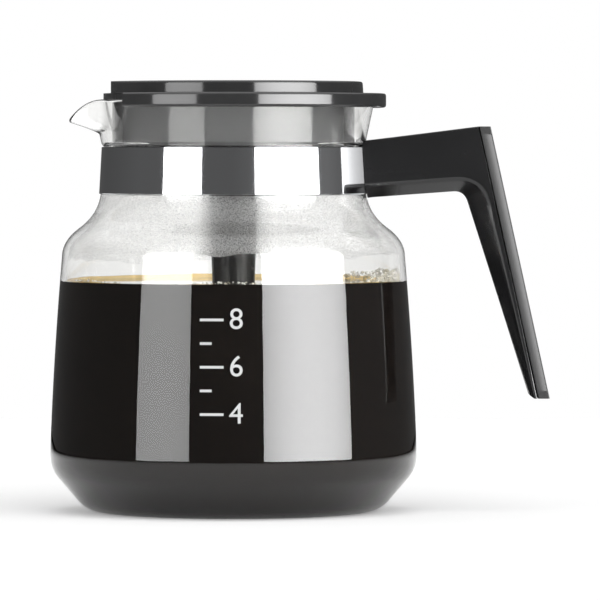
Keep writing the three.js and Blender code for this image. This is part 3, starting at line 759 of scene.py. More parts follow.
def cover_ring(height, back_round):
    """One section of the cover: small edges along the seam and rounded or square ones at the back."""
    half = HANDLE_WIDTH / 2
    front = back_x(height) - COVER_DEPTH
    back = back_x(height)
    back_depth = COVER_SLANT * back_round
    corners = [(front, -half, 1, 1, HANDLE_EDGE, HANDLE_EDGE, math.pi)]
    corners.append((back, -half, -1, 1, back_round, back_depth, 1.5 * math.pi))
    corners.append((back, half, -1, -1, back_round, back_depth, 0))
    corners.append((front, half, 1, -1, HANDLE_EDGE, HANDLE_EDGE, math.pi / 2))
    ring = []
    for x, y, into_x, into_y, width, depth, begin in corners:
        for i in range(CORNER_STEPS + 1):
            turn = begin + math.pi / 2 * i / CORNER_STEPS
            spot_x = x + width * (into_x + math.cos(turn))
            spot_y = y + depth * (into_y + math.sin(turn))
            ring.append((spot_x, spot_y, height))
    return ring


grained, tree = new_material("black_grained_polypropylene")
# Leather-like grain about 0.8 mm across, which spreads the lamps into a soft band down the rounded edge
place = add_node(tree, "ShaderNodeTexCoord")
grain = add_node(
    tree, "ShaderNodeTexNoise", {"Vector": place.outputs["Object"], "Scale": 1 / (0.8 * MM), "Detail": 2.0}
)
tone = add_node(tree, "ShaderNodeValToRGB", {"Fac": grain.outputs[0]})
tone.color_ramp.elements[0].color = linear("#0b0b0c")
tone.color_ramp.elements[1].color = linear("#151516")
skin = add_node(
    tree, "ShaderNodeBump", {"Height": grain.outputs[0], "Strength": 0.2, "Distance": 0.05 * MM}
)
surface = add_node(
    tree,
    "ShaderNodeBsdfPrincipled",
    {
        "Base Color": tone.outputs["Color"],
        "Roughness": 0.46,
        "IOR": 1.45,
        "Normal": skin.outputs["Normal"],
    },
)
add_node(tree, "ShaderNodeOutputMaterial", {"Surface": surface.outputs["BSDF"]})

lower_lip_z = grip_end_z + COVER_LIP
upper_lip_z = grip_top_z - COVER_LIP
rings = [cover_ring(grip_end_z, HANDLE_EDGE), cover_ring(lower_lip_z, HANDLE_EDGE)]
for i in range(COVER_STEPS + 1):
    rings.append(cover_ring(lower_lip_z + (upper_lip_z - lower_lip_z) * i / COVER_STEPS, COVER_ROUND))
rings += [cover_ring(upper_lip_z, HANDLE_EDGE), cover_ring(grip_top_z, HANDLE_EDGE)]
cover = piece_from("grip_back_cover", skinned(rings))
ends = []
for height in (channel_foot_z + FIT, channel_head_z - FIT):
    start = seam_x(height) - TONGUE_DEPTH
    ends.append(channel_ring(height, start, back_x(height) - COVER_DEPTH / 2, CHANNEL_WIDTH - 2 * FIT))
carve(cover, piece_from("tongue", skinned(ends)), "UNION")
shade(cover, grained)
flatten_shading(cover)
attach(cover, "jug")
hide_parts("handle_back_cover")

# Lid
# A black moulded lid whose skirt drops into the neck and whose flange rests on the rim.
# It is cut back over the spout, and its dish leads the coffee from the brew basket to a hole in the middle.
LID_PLAY = 1.2 * MM
LID_WALL = 2.2 * MM
SKIRT_DEPTH = 17.6 * MM
FLANGE_THICKNESS = 2.4 * MM
LIP_PLAY = 2.2 * MM
LIP_DEPTH = 3.1 * MM
LIP_WALL = 2.5 * MM
UPSTAND_INSET = 0.3 * MM
UPSTAND_HEIGHT = 4.6 * MM
UPSTAND_DRAFT = 0.235 * MM
UPSTAND_FLAT = 3.4 * MM
LID_ROUND = 1.1 * MM
LID_EDGE = 0.3 * MM
NOTCH_HALF_ANGLE = math.radians(45)
NOTCH_STEPS = 40
DISH_DEPTH = 9.5 * MM
DISH_FALL = 3.5 * MM
DISH_ROUND = 4 * MM
DISH_FACES_UP = 0.02
SOCKET_HEIGHT = 10 * MM
TUBE_TOP_RADIUS = 10 * MM
TUBE_WALL = 1.3 * MM
LID_TURNS = 160

seat_z = rim_z + FIT
flange_top_z = seat_z + FLANGE_THICKNESS
lid_top_z = flange_top_z + UPSTAND_HEIGHT
lip_foot_z = seat_z - LIP_DEPTH
dish_edge_z = lid_top_z - DISH_DEPTH
dish_middle_z = dish_edge_z - DISH_FALL
socket_top_z = dish_middle_z - LID_WALL
socket_foot_z = socket_top_z - SOCKET_HEIGHT
skirt_radius = neck_top_radius - GLASS_WALL - LID_PLAY
lip_radius = rim_radius + LIP_PLAY
flange_radius = lip_radius + LIP_WALL
upstand_radius = NECK_RADIUS - UPSTAND_INSET
socket_radius = TUBE_TOP_RADIUS + FIT


def on_ring(radius, turn, height):
    """A point on a level ring about the upright axis."""
    return (radius * math.cos(turn), radius * math.sin(turn), height)


def turned(outline, steps):
    """Turns a closed outline of radius and height about the upright axis."""
    shape = bmesh.new()
    turns = [2 * math.pi * i / steps for i in range(steps)]
    rings = []
    for radius, height in outline:
        rings.append([shape.verts.new(on_ring(radius, turn, height)) for turn in turns])
    for i, below in enumerate(rings):
        above = rings[(i + 1) % len(rings)]
        for j in range(steps):
            k = (j + 1) % steps
            shape.faces.new((below[j], below[k], above[k], above[j]))
    bmesh.ops.remove_doubles(shape, verts=shape.verts, dist=WELD)
    bmesh.ops.recalc_face_normals(shape, faces=shape.faces)
    return shape


def lid_outline():
    """Section of the lid, from the skirt's foot up over the flange and upstand and down into the dish."""
    skirt_inner = skirt_radius - LID_WALL
    hole_radius = TUBE_TOP_RADIUS - TUBE_WALL
    skirt_foot_z = seat_z - SKIRT_DEPTH
    points = [Vector((skirt_inner, skirt_foot_z)), Vector((skirt_radius, skirt_foot_z))]
    points += [Vector((skirt_radius, seat_z)), Vector((lip_radius, seat_z))]
    points.append(Vector((lip_radius, lip_foot_z)))
    lip_low = Vector((flange_radius - LIP_WALL / 2, lip_foot_z))
    lip_out = Vector((flange_radius, lip_foot_z + LIP_WALL / 2))
    points += [lip_low] + bend(lip_low, Vector((flange_radius, lip_foot_z)), lip_out, 5)
    edge = Vector((flange_radius, flange_top_z - LID_ROUND))
    deck = Vector((flange_radius - LID_ROUND, flange_top_z))
    points += [edge] + bend(edge, Vector((flange_radius, flange_top_z)), deck, 5)
    crest = upstand_radius - UPSTAND_DRAFT
    wall = Vector((crest, lid_top_z - LID_ROUND))
    top = Vector((crest - LID_ROUND, lid_top_z))
    points += [Vector((upstand_radius, flange_top_z)), wall]
    points += bend(wall, Vector((crest, lid_top_z)), top, 5)
    dish_wall = Vector((skirt_inner, dish_edge_z + DISH_ROUND))
    dish_floor = Vector((skirt_inner - DISH_ROUND, dish_edge_z))
    points += [Vector((upstand_radius - LID_WALL, lid_top_z)), dish_wall]
    points += bend(dish_wall, Vector((skirt_inner, dish_edge_z)), dish_floor, 8)
    brim = Vector((socket_radius + LID_WALL, dish_middle_z))
    hole = Vector((hole_radius, socket_top_z))
    points += [brim] + bend(brim, Vector((hole_radius, dish_middle_z)), hole, 6)
    points += [Vector((socket_radius, socket_top_z)), Vector((socket_radius, socket_foot_z))]
    points.append(Vector((socket_radius + LID_WALL, socket_foot_z)))
    points.append(Vector((socket_radius + LID_WALL, dish_middle_z - LID_WALL)))
    points.append(Vector((skirt_inner, dish_edge_z - LID_WALL)))
    return points


def notch_ring(height):
    """The sector over the spout that is cut away, at a height."""
    shares = [2 * i / NOTCH_STEPS - 1 for i in range(NOTCH_STEPS + 1)]
    turns = [math.pi + NOTCH_HALF_ANGLE * share for share in shares]
    near = [on_ring(upstand_radius, turn, height) for turn in turns]
    far = [on_ring(flange_radius + OVERCUT, turn, height) for turn in reversed(turns)]
    return near + far


abs_plastic, tree = new_material("black_moulded_abs")
# Polished mould: nearly a mirror, with very fine handling marks about 6 mm apart that dull it in places
place = add_node(tree, "ShaderNodeTexCoord")
wear = add_node(
    tree, "ShaderNodeTexNoise", {"Vector": place.outputs["Object"], "Scale": 1 / (6 * MM), "Detail": 4.0}
)
tone = add_node(tree, "ShaderNodeValToRGB", {"Fac": wear.outputs[0]})
tone.color_ramp.elements[0].color = linear("#373738")
tone.color_ramp.elements[1].color = linear("#404040")
sheen = add_node(tree, "ShaderNodeMapRange", {"Value": wear.outputs[0], "To Min": 0.07, "To Max": 0.12})
surface = add_node(
    tree,
    "ShaderNodeBsdfPrincipled",
    {"Base Color": tone.outputs["Color"], "Roughness": sheen.outputs["Result"], "IOR": 1.46},
)
add_node(tree, "ShaderNodeOutputMaterial", {"Surface": surface.outputs["BSDF"]})

textured, tree = new_material("black_textured_abs")
# Spark-eroded mould inside the dish: a dull grain about 0.5 mm across that hardly mirrors anything
place = add_node(tree, "ShaderNodeTexCoord")
grain = add_node(
    tree, "ShaderNodeTexNoise", {"Vector": place.outputs["Object"], "Scale": 1 / (0.5 * MM), "Detail": 2.0}
)
tone = add_node(tree, "ShaderNodeValToRGB", {"Fac": grain.outputs[0]})
tone.color_ramp.elements[0].color = linear("#232324")
tone.color_ramp.elements[1].color = linear("#2c2c2d")
skin = add_node(
    tree, "ShaderNodeBump", {"Height": grain.outputs[0], "Strength": 0.2, "Distance": 0.05 * MM}
)
surface = add_node(
    tree,
    "ShaderNodeBsdfPrincipled",
    {"Base Color": tone.outputs["Color"], "Roughness": 0.55, "IOR": 1.2, "Normal": skin.outputs["Normal"]},
)
add_node(tree, "ShaderNodeOutputMaterial", {"Surface": surface.outputs["BSDF"]})

lid = piece_from("moulded_lid", turned(lid_outline(), LID_TURNS))
round_edges(lid, LID_EDGE, steps=2, limit=55)
notch = piece_from("spout notch", skinned([notch_ring(lip_foot_z - OVERCUT), notch_ring(flange_top_z)]))
carve(lid, notch)
flat_x = UPSTAND_FLAT - upstand_radius
reach = 2 * upstand_radius
carve(lid, block("beyond flat", (-reach, -reach, flange_top_z), (flat_x, reach, lid_top_z + OVERCUT)))
flat_half = math.sqrt((upstand_radius - LID_ROUND) ** 2 - flat_x**2)
wall_low = (flat_x, -flat_half, seat_z)
wall_high = (flat_x + LID_WALL, flat_half, lid_top_z)
carve(lid, block("flat wall", wall_low, wall_high), "UNION")
shade(lid, abs_plastic)
lid.data.materials.append(textured)
for face in lid.data.polygons:
    inside = face.center.to_2d().length < upstand_radius - LID_WALL
    if inside and face.normal.z > DISH_FACES_UP and face.center.z > dish_middle_z - LID_WALL / 2:
        face.material_index = 1
flatten_shading(lid)
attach(lid, "lid")
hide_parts("lid_body")

# Mixing tube
# A tapered black tube pushed into the socket under the lid, with a collar that stops it there.
# Fresh coffee runs down it to the floor of the jug, so that the first and last cups mix.
TUBE_END_RADIUS = 5.7 * MM
TUBE_COLLAR = 1.8 * MM
TUBE_COLLAR_HEIGHT = 1.6 * MM
TUBE_FLOOR_GAP = 12 * MM
TUBE_EDGE = 0.25 * MM
GLASS_FLOOR = 3 * MM
TUBE_TURNS = 72

dull, tree = new_material("dull_black_polypropylene")
# Unpolished inner part: black, with flow marks about 4 mm long that dull it a little
place = add_node(tree, "ShaderNodeTexCoord")
flow = add_node(
    tree, "ShaderNodeTexNoise", {"Vector": place.outputs["Object"], "Scale": 1 / (4 * MM), "Detail": 2.0}
)
tone = add_node(tree, "ShaderNodeValToRGB", {"Fac": flow.outputs[0]})
tone.color_ramp.elements[0].color = linear("#1e1e1d")
tone.color_ramp.elements[1].color = linear("#282827")
sheen = add_node(tree, "ShaderNodeMapRange", {"Value": flow.outputs[0], "To Min": 0.22, "To Max": 0.3})
surface = add_node(
    tree,
    "ShaderNodeBsdfPrincipled",
    {"Base Color": tone.outputs["Color"], "Roughness": sheen.outputs["Result"], "IOR": 1.2},
)
add_node(tree, "ShaderNodeOutputMaterial", {"Surface": surface.outputs["BSDF"]})

tube_top_z = socket_top_z - FIT
collar_top_z = socket_foot_z - FIT
collar_foot_z = collar_top_z - TUBE_COLLAR_HEIGHT
tube_end_z = GLASS_FLOOR + TUBE_FLOOR_GAP
tube_inner = TUBE_TOP_RADIUS - TUBE_WALL
outline = [(TUBE_END_RADIUS - TUBE_WALL, tube_end_z), (TUBE_END_RADIUS, tube_end_z)]
outline += [(TUBE_TOP_RADIUS, collar_foot_z), (TUBE_TOP_RADIUS + TUBE_COLLAR, collar_foot_z)]
outline += [(TUBE_TOP_RADIUS + TUBE_COLLAR, collar_top_z), (TUBE_TOP_RADIUS, collar_top_z)]
outline += [(TUBE_TOP_RADIUS, tube_top_z), (tube_inner, tube_top_z), (tube_inner, collar_foot_z)]
tube = piece_from("mixing_tube_moulding", turned(outline, TUBE_TURNS))
round_edges(tube, TUBE_EDGE, steps=2)
shade(tube, dull, limit=40)
flatten_shading(tube)
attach(tube, "lid")
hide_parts("mixing_tube")

# Coffee
# Black coffee fills the jug to just under the shoulder and wets the glass, so no air shows between them.
# A thin film of it stands on the wall above the surface, amber where light comes through it.
COFFEE_LEVEL = 89.4 * MM
COFFEE_CLIMB = 0.04 * MM
COFFEE_CURVE = 1.2 * MM
COFFEE_WETTING = 0.25 * MM
COFFEE_RIM = 8 * MM
COFFEE_RIM_STEPS = 12
COFFEE_FACES_UP = 0.2
COFFEE_TURNS = 144
FILM_FOOT = 0.4 * MM
FILM_HEIGHT = 1.5 * MM
FILM_WANDER = 0.12 * MM
FILM_THICKNESS = 0.3 * MM
FILM_DEPTH = 0.05 * MM
STRIP_ROWS = 4


def inset(outline, depth):
    """An outline moved inwards along its own normals."""
    moved = []
    for i, point in enumerate(outline):
        run = outline[min(i + 1, len(outline) - 1)] - outline[max(i - 1, 0)]
        moved.append(point + Vector((-run.y, run.x)).normalized() * depth)
    moved[0].x = 0
    return moved


def radius_at(outline, height):
    """Radius of an outline at a height."""
    for low, high in zip(outline, outline[1:]):
        if low.y <= height <= high.y:
            return low.x + (high.x - low.x) * (height - low.y) / max(high.y - low.y, WELD)
    return outline[-1].x


coffee_skin, tree = new_material("black_coffee")
# Brewed coffee against the glass: nearly black, faintly brown, and without gloss where the glass covers it
place = add_node(tree, "ShaderNodeTexCoord")
swirl = add_node(
    tree, "ShaderNodeTexNoise", {"Vector": place.outputs["Object"], "Scale": 1 / (40 * MM), "Detail": 2.0}
)
tone = add_node(tree, "ShaderNodeValToRGB", {"Fac": swirl.outputs[0]})
tone.color_ramp.elements[0].color = linear("#0e0b0a")
tone.color_ramp.elements[1].color = linear("#15110e")
surface = add_node(
    tree, "ShaderNodeBsdfPrincipled", {"Base Color": tone.outputs["Color"], "Roughness": 0.5, "IOR": 1.02}
)
add_node(tree, "ShaderNodeOutputMaterial", {"Surface": surface.outputs["BSDF"]})

coffee_face, tree = new_material("coffee_surface")
# The open surface: a still, shiny liquid with a slight drift of oil about 12 mm across
place = add_node(tree, "ShaderNodeTexCoord")
oil = add_node(
    tree, "ShaderNodeTexNoise", {"Vector": place.outputs["Object"], "Scale": 1 / (12 * MM), "Detail": 3.0}
)
tone = add_node(tree, "ShaderNodeValToRGB", {"Fac": oil.outputs[0]})
tone.color_ramp.elements[0].color = linear("#1c130e")
tone.color_ramp.elements[1].color = linear("#3a2415")
surface = add_node(
    tree, "ShaderNodeBsdfPrincipled", {"Base Color": tone.outputs["Color"], "Roughness": 0.04, "IOR": 1.33}
)
add_node(tree, "ShaderNodeOutputMaterial", {"Surface": surface.outputs["BSDF"]})

wetted = inset(jug_outline(), GLASS_WALL - COFFEE_WETTING)
coffee_top_z = COFFEE_LEVEL + COFFEE_CLIMB
outline = [point for point in wetted if point.y < coffee_top_z]
brink = radius_at(wetted, coffee_top_z)
for i in range(COFFEE_RIM_STEPS + 1):
    away = COFFEE_RIM * (i / COFFEE_RIM_STEPS) ** 2
    outline.append(Vector((brink - away, COFFEE_LEVEL + COFFEE_CLIMB * math.exp(-away / COFFEE_CURVE))))
outline += [Vector((brink * share, COFFEE_LEVEL)) for share in (0.7, 0.45, 0.2, 0)]
coffee = piece_from("coffee", turned(outline, COFFEE_TURNS))
shade(coffee, coffee_skin, limit=40)
coffee.data.materials.append(coffee_face)
for face in coffee.data.polygons:
    if face.normal.z > COFFEE_FACES_UP:
        face.material_index = 1
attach(coffee, "jug")

amber, tree = new_material("thin_coffee")
# A film of coffee thin enough to let light through: clear amber, darker where the drift is thicker
place = add_node(tree, "ShaderNodeTexCoord")
drift = add_node(
    tree, "ShaderNodeTexNoise", {"Vector": place.outputs["Object"], "Scale": 1 / (9 * MM), "Detail": 2.0}
)
tone = add_node(tree, "ShaderNodeValToRGB", {"Fac": drift.outputs[0]})
tone.color_ramp.elements[0].color = linear("#dcc084")
tone.color_ramp.elements[1].color = linear("#efdcb0")
surface = add_node(
    tree,
    "ShaderNodeBsdfPrincipled",
    {"Base Color": tone.outputs["Color"], "Roughness": 0.05, "IOR": 1.33, "Transmission Weight": 1.0},
)
add_node(tree, "ShaderNodeOutputMaterial", {"Surface": surface.outputs["BSDF"]})

inner_wall = inset(jug_outline(), GLASS_WALL)


def wall_strip(begin, end, steps, low, high, depth):
    """A strip on the inner wall between two angles; low and high give its edges at each angle."""
    shape = bmesh.new()
    last = None
    for i in range(steps + 1):
        turn = begin + (end - begin) * i / steps
        column = []
        for j in range(STRIP_ROWS + 1):
            height = low(turn) + j / STRIP_ROWS * (high(turn) - low(turn))
            radius = radius_at(inner_wall, height) - depth
            column.append(shape.verts.new(on_ring(radius, turn, height)))
        for j in range(STRIP_ROWS if last else 0):
            shape.faces.new((last[j], column[j], column[j + 1], last[j + 1]))
        last = column
    bmesh.ops.remove_doubles(shape, verts=shape.verts, dist=WELD)
    return shape


def film_foot(turn):
    """Lower edge of the film, just under the surface."""
    return COFFEE_LEVEL - FILM_FOOT


def film_top(turn):
    """Upper edge of the film, which stands higher at the back and wanders a little."""
    wander = math.sin(7 * turn + 1) + 0.5 * math.sin(17 * turn)
    return COFFEE_LEVEL + FILM_HEIGHT * (1 + math.sin(turn)) / 2 + FILM_WANDER * wander


film_strip = wall_strip(0, 2 * math.pi, COFFEE_TURNS, film_foot, film_top, FILM_DEPTH)
edge = piece_from("coffee_edge", film_strip)
thicken(edge, FILM_THICKNESS)
shade(edge, amber, limit=60)
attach(edge, "jug")

# Foam
# Bubbles left by pouring: a raft that clings to the wall towards the handle, and a row of beads at the front.
# Each is a tiny ball with a wet cream skin, and most of them are small.
RAFT_START = math.radians(-38)
RAFT_END = math.radians(50)
RAFT_STEPS = 40
RAFT_FOOT = 0.2 * MM
RAFT_LEAST = 0.4 * MM
RAFT_HEIGHT = 4.4 * MM
RAFT_BLUNTNESS = 0.4
RAFT_UNEVENNESS = 0.15
RAFT_HEAPS = 19
RAFT_DEPTH = 1.2 * MM
BEADS_START = math.radians(-158)
BEADS_END = math.radians(-70)
BEADS_STEPS = 90
BEADS_FOOT = 0.1 * MM
BEADS_HEIGHT = 0.9 * MM
BEADS_HEAPS = 6
BEADS_DEPTH = 0.5 * MM
DENSEST = 2000000

foam_skin, tree = new_material("coffee_foam")
# Wet bubble skins: clear, cream coloured, with a brown tint in places about 5 mm across
place = add_node(tree, "ShaderNodeTexCoord")
stain = add_node(
    tree, "ShaderNodeTexNoise", {"Vector": place.outputs["Object"], "Scale": 1 / (5 * MM), "Detail": 1.0}
)
tone = add_node(tree, "ShaderNodeValToRGB", {"Fac": stain.outputs[0]})
tone.color_ramp.elements[0].position = 0.3
tone.color_ramp.elements[0].color = linear("#f1ead0")
tone.color_ramp.elements[1].position = 0.55
tone.color_ramp.elements[1].color = linear("#fffdf7")
surface = add_node(
    tree,
    "ShaderNodeBsdfPrincipled",
    {"Base Color": tone.outputs["Color"], "Roughness": 0.03, "IOR": 1.12, "Transmission Weight": 0.7},
)
add_node(tree, "ShaderNodeOutputMaterial", {"Surface": surface.outputs["BSDF"]})

raft_sizes = {"Spacing": 0.6 * MM, "Smallest": 0.24 * MM, "Largest": 0.85 * MM, "Bias": 3.0, "Seed": 7}
tree, given = new_tree("scattered_bubbles", raft_sizes)
size = given.outputs
spots = add_node(
    tree,
    "GeometryNodeDistributePointsOnFaces",
    {
        "Mesh": size["Geometry"],
        "Distance Min": size["Spacing"],
        "Density Max": DENSEST,
        "Seed": size["Seed"],
    },
    distribute_method="POISSON",
)
ball = add_node(tree, "GeometryNodeMeshUVSphere", {"Segments": 8, "Rings": 5, "Radius": 1.0})
chance = add_node(tree, "FunctionNodeRandomValue", {"Seed": size["Seed"]}, data_type="FLOAT")
chance = add_node(tree, "ShaderNodeMath", {0: chance.outputs[1], 1: size["Bias"]}, operation="POWER")
girth = add_node(
    tree,
    "ShaderNodeMapRange",
    {"Value": chance.outputs[0], "To Min": size["Smallest"], "To Max": size["Largest"]},
)
bubbles = add_node(
    tree,
    "GeometryNodeInstanceOnPoints",
    {"Points": spots.outputs["Points"], "Instance": ball.outputs["Mesh"], "Scale": girth.outputs[0]},
)
bubbles = add_node(tree, "GeometryNodeRealizeInstances", {"Geometry": bubbles.outputs["Instances"]})
bubbles = add_node(
    tree, "GeometryNodeSetMaterial", {"Geometry": bubbles.outputs["Geometry"], "Material": foam_skin}
)
add_node(tree, "NodeGroupOutput", {"Geometry": bubbles.outputs["Geometry"]})


def raft_top(turn):
    """Upper edge of the raft, which swells and thins along the wall."""
    share = (turn - RAFT_START) / (RAFT_END - RAFT_START)
    swell = max(math.sin(math.pi * share), 0) ** RAFT_BLUNTNESS
    heaps = 1 - RAFT_UNEVENNESS + RAFT_UNEVENNESS * math.sin(RAFT_HEAPS * turn)
    return COFFEE_LEVEL + RAFT_LEAST + RAFT_HEIGHT * swell * heaps


def raft_foot(turn):
    """Lower edge of the raft, on the surface."""
    return COFFEE_LEVEL + RAFT_FOOT


def bead_foot(turn):
    """Lower edge of a row of beads, on the surface."""
    return COFFEE_LEVEL + BEADS_FOOT


def bead_top(turn):
    """Upper edge of a row of beads, which thins out between its heaps."""
    return bead_foot(turn) + BEADS_HEIGHT * (1 - math.cos(BEADS_HEAPS * turn)) / 2


raft_strip = wall_strip(RAFT_START, RAFT_END, RAFT_STEPS, raft_foot, raft_top, RAFT_DEPTH)
bead_sizes = {"Spacing": 0.42 * MM, "Smallest": 0.16 * MM, "Largest": 0.5 * MM, "Bias": 1.5, "Seed": 3}
bead_strip = wall_strip(BEADS_START, BEADS_END, BEADS_STEPS, bead_foot, bead_top, BEADS_DEPTH)
foams = (("foam_raft", raft_strip, raft_sizes), ("foam_beads", bead_strip, bead_sizes))
for name, strip, sizes in foams:
    foam = piece_from(name, strip)
    grow(foam, tree, sizes)
    shade(foam, foam_skin, limit=80)
    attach(foam, "jug")

# Condensation
# Steam has settled as droplets on the inside of the shoulder, down to a ragged edge above the coffee.
# A thin film carries the finest droplets as a pattern, and the larger ones stand on it as lenses.
# The film is thickest down the front and back of the jug.
MIST_FOOT = 98.8 * MM
MIST_LEAN = 1.2 * MM
MIST_RISE = 2.4 * MM
MIST_WANDER = 0.7 * MM
MIST_CLEARANCE = 0.5 * MM
MIST_TURNS = 180
MIST_DEPTH = 0.05 * MM
MIST_FILM = 0.03 * MM
MIST_THICK_NEAR = 8 * MM
MIST_THICK_FAR = 17 * MM
DROP_DEPTH = 0.1 * MM
DROP_SPACING = 1.6 * MM
DROP_SMALLEST = 0.12 * MM
DROP_LARGEST = 0.27 * MM
DROP_FLATNESS = 0.2


def mist_foot(turn):
    """Lower edge of the mist, which stands higher at the front and wanders up and down round the jug."""
    wander = math.sin(5 * turn) + 0.6 * math.sin(13 * turn + 1) + 0.4 * math.sin(29 * turn + 2)
    return MIST_FOOT + MIST_LEAN * math.cos(turn) - MIST_RISE * math.sin(turn) + MIST_WANDER * wander


def mist_head(turn):
    """Upper edge of the mist, just under the band."""
    return band_foot_z - MIST_CLEARANCE


mist, tree = new_material("condensed_droplets")
# Water beads about 0.4 mm apart: they scatter the light behind them, and the glass shows clear in between.
# At the front and back they run together, let more light through and blur what is behind them.
place = add_node(tree, "ShaderNodeTexCoord")
cells = add_node(
    tree, "ShaderNodeTexVoronoi", {"Vector": place.outputs["Object"], "Scale": 1 / (0.42 * MM)}
)
across = add_node(tree, "ShaderNodeSeparateXYZ", {0: place.outputs["Object"]}).outputs["X"]
across = add_node(tree, "ShaderNodeMath", {0: across}, operation="ABSOLUTE").outputs[0]
thick = add_node(
    tree,
    "ShaderNodeMapRange",
    {
        "Value": across,
        "From Min": MIST_THICK_NEAR,
        "From Max": MIST_THICK_FAR,
        "To Min": 1.0,
        "To Max": 0.0,
    },
    interpolation_type="SMOOTHSTEP",
).outputs[0]
widest = add_node(
    tree, "ShaderNodeMapRange", {"Value": thick, "To Min": 0.44, "To Max": 1.05}
).outputs[0]
clear_share = add_node(
    tree, "ShaderNodeMapRange", {"Value": thick, "To Min": 0.5, "To Max": 0.98}
).outputs[0]
cover_share = add_node(
    tree,
    "ShaderNodeMapRange",
    {
        "Value": cells.outputs["Distance"],
        "From Min": 0.18,
        "From Max": widest,
        "To Min": 1.0,
        "To Max": 0.0,
    },
)
surface = add_node(
    tree,
    "ShaderNodeBsdfPrincipled",
    {
        "Base Color": linear("#ffffff"),
        "Roughness": 0.64,
        "IOR": 1.26,
        "Transmission Weight": clear_share,
        "Alpha": cover_share.outputs["Result"],
    },
)
add_node(tree, "ShaderNodeOutputMaterial", {"Surface": surface.outputs["BSDF"]})

drop_skin, tree = new_material("water_drops")
# Clean water: clear and smooth, with a faint tremble about 1 mm across from the drops' uneven edges
place = add_node(tree, "ShaderNodeTexCoord")
tremble = add_node(
    tree, "ShaderNodeTexNoise", {"Vector": place.outputs["Object"], "Scale": 1 / (1 * MM), "Detail": 1.0}
)
tilt = add_node(
    tree, "ShaderNodeBump", {"Height": tremble.outputs[0], "Strength": 0.3, "Distance": 0.1 * MM}
)
surface = add_node(
    tree,
    "ShaderNodeBsdfPrincipled",
    {
        "Base Color": linear("#ffffff"),
        "Roughness": 0.0,
        "IOR": 1.33,
        "Transmission Weight": 1.0,
        "Normal": tilt.outputs["Normal"],
    },
)
add_node(tree, "ShaderNodeOutputMaterial", {"Surface": surface.outputs["BSDF"]})

mist_strip = wall_strip(0, 2 * math.pi, MIST_TURNS, mist_foot, mist_head, MIST_DEPTH)
haze = piece_from("mist_film", mist_strip)
thicken(haze, MIST_FILM)
shade(haze, mist, limit=60)
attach(haze, "jug")

drop_sizes = {"Spacing": DROP_SPACING, "Smallest": DROP_SMALLEST, "Largest": DROP_LARGEST, "Seed": 11}
tree, given = new_tree("settled_drops", drop_sizes)
size = given.outputs
spots = add_node(
    tree,
    "GeometryNodeDistributePointsOnFaces",
    {
        "Mesh": size["Geometry"],
        "Distance Min": size["Spacing"],
        "Density Max": DENSEST,
        "Seed": size["Seed"],
    },
    distribute_method="POISSON",
)
lens = add_node(tree, "GeometryNodeMeshUVSphere", {"Segments": 7, "Rings": 4, "Radius": 1.0})
lens = add_node(
    tree, "GeometryNodeTransform", {"Geometry": lens.outputs["Mesh"], "Scale": (1.0, 1.0, DROP_FLATNESS)}
)
girth = add_node(
    tree,
    "FunctionNodeRandomValue",
    {2: size["Smallest"], 3: size["Largest"], "Seed": size["Seed"]},
    data_type="FLOAT",
)
drops = add_node(
    tree,
    "GeometryNodeInstanceOnPoints",
    {
        "Points": spots.outputs["Points"],
        "Instance": lens.outputs["Geometry"],
        "Rotation": spots.outputs["Rotation"],
        "Scale": girth.outputs[1],
    },
)
drops = add_node(tree, "GeometryNodeRealizeInstances", {"Geometry": drops.outputs["Instances"]})
drops = add_node(
    tree, "GeometryNodeSetMaterial", {"Geometry": drops.outputs["Geometry"], "Material": drop_skin}
)
add_node(tree, "NodeGroupOutput", {"Geometry": drops.outputs["Geometry"]})
drop_strip = wall_strip(0, 2 * math.pi, MIST_TURNS, mist_foot, mist_head, DROP_DEPTH)
condensation = piece_from("condensation", drop_strip)
grow(condensation, tree, drop_sizes)
shade(condensation, drop_skin, limit=80)
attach(condensation, "jug")

# Studio
# A white floor and background, an even sky and a soft overhead light, which together light the object.
# Gloss mirrors a dim room with a bright ceiling, and two tall softboxes left and right of the camera.
# The softboxes are brightest near the floor and fade upwards, and matt surfaces get no light from them.
FLOOR_RADIUS = 0.8
FLOOR_FADE_START = 0.4
FLOOR_FADE_END = 0.75
FLOOR_LIFT = 0.3
FLOOR_MIRROR_LIFT = 0.22
CAMERA_DISTANCE = 2300 * MM
CAMERA_HEIGHT = 140 * MM
AIM = Vector((25.8 * MM, 0, 82 * MM))
VIEW_WIDTH = 232.8 * MM
SENSOR_WIDTH = 36
FARTHEST_SEEN = 100
SKY_LEVEL = 0.5
ROOM_LEVEL = 0.125
ROOM_RIGHT_LEVEL = 0.2
ROOM_BACK_LEVEL = 0.09
ROOM_BACK_START = 0.8
CEILING_LEVEL = 1.3
CEILING_START = 0.35
CEILING_END = 0.7
BEHIND_START = 0.5
BEHIND_END = 0.75
SUN_LEVEL = 1.5
SUN_SPREAD = math.radians(70)
SUN_TILT = math.radians(35)
SUN_TURN = math.radians(20)
POWER_PER_RADIANCE = 4
SOFTBOX_DISTANCE = 1.2
SOFTBOX_HEIGHT = 2.4
SOFTBOX_FOOT = -0.1
SOFTBOX_BRIGHT_END = 0.155
SOFTBOX_TAIL_START = 0.42
SOFTBOX_TAIL_END = 0.9
SOFTBOX_TAIL = 0.14

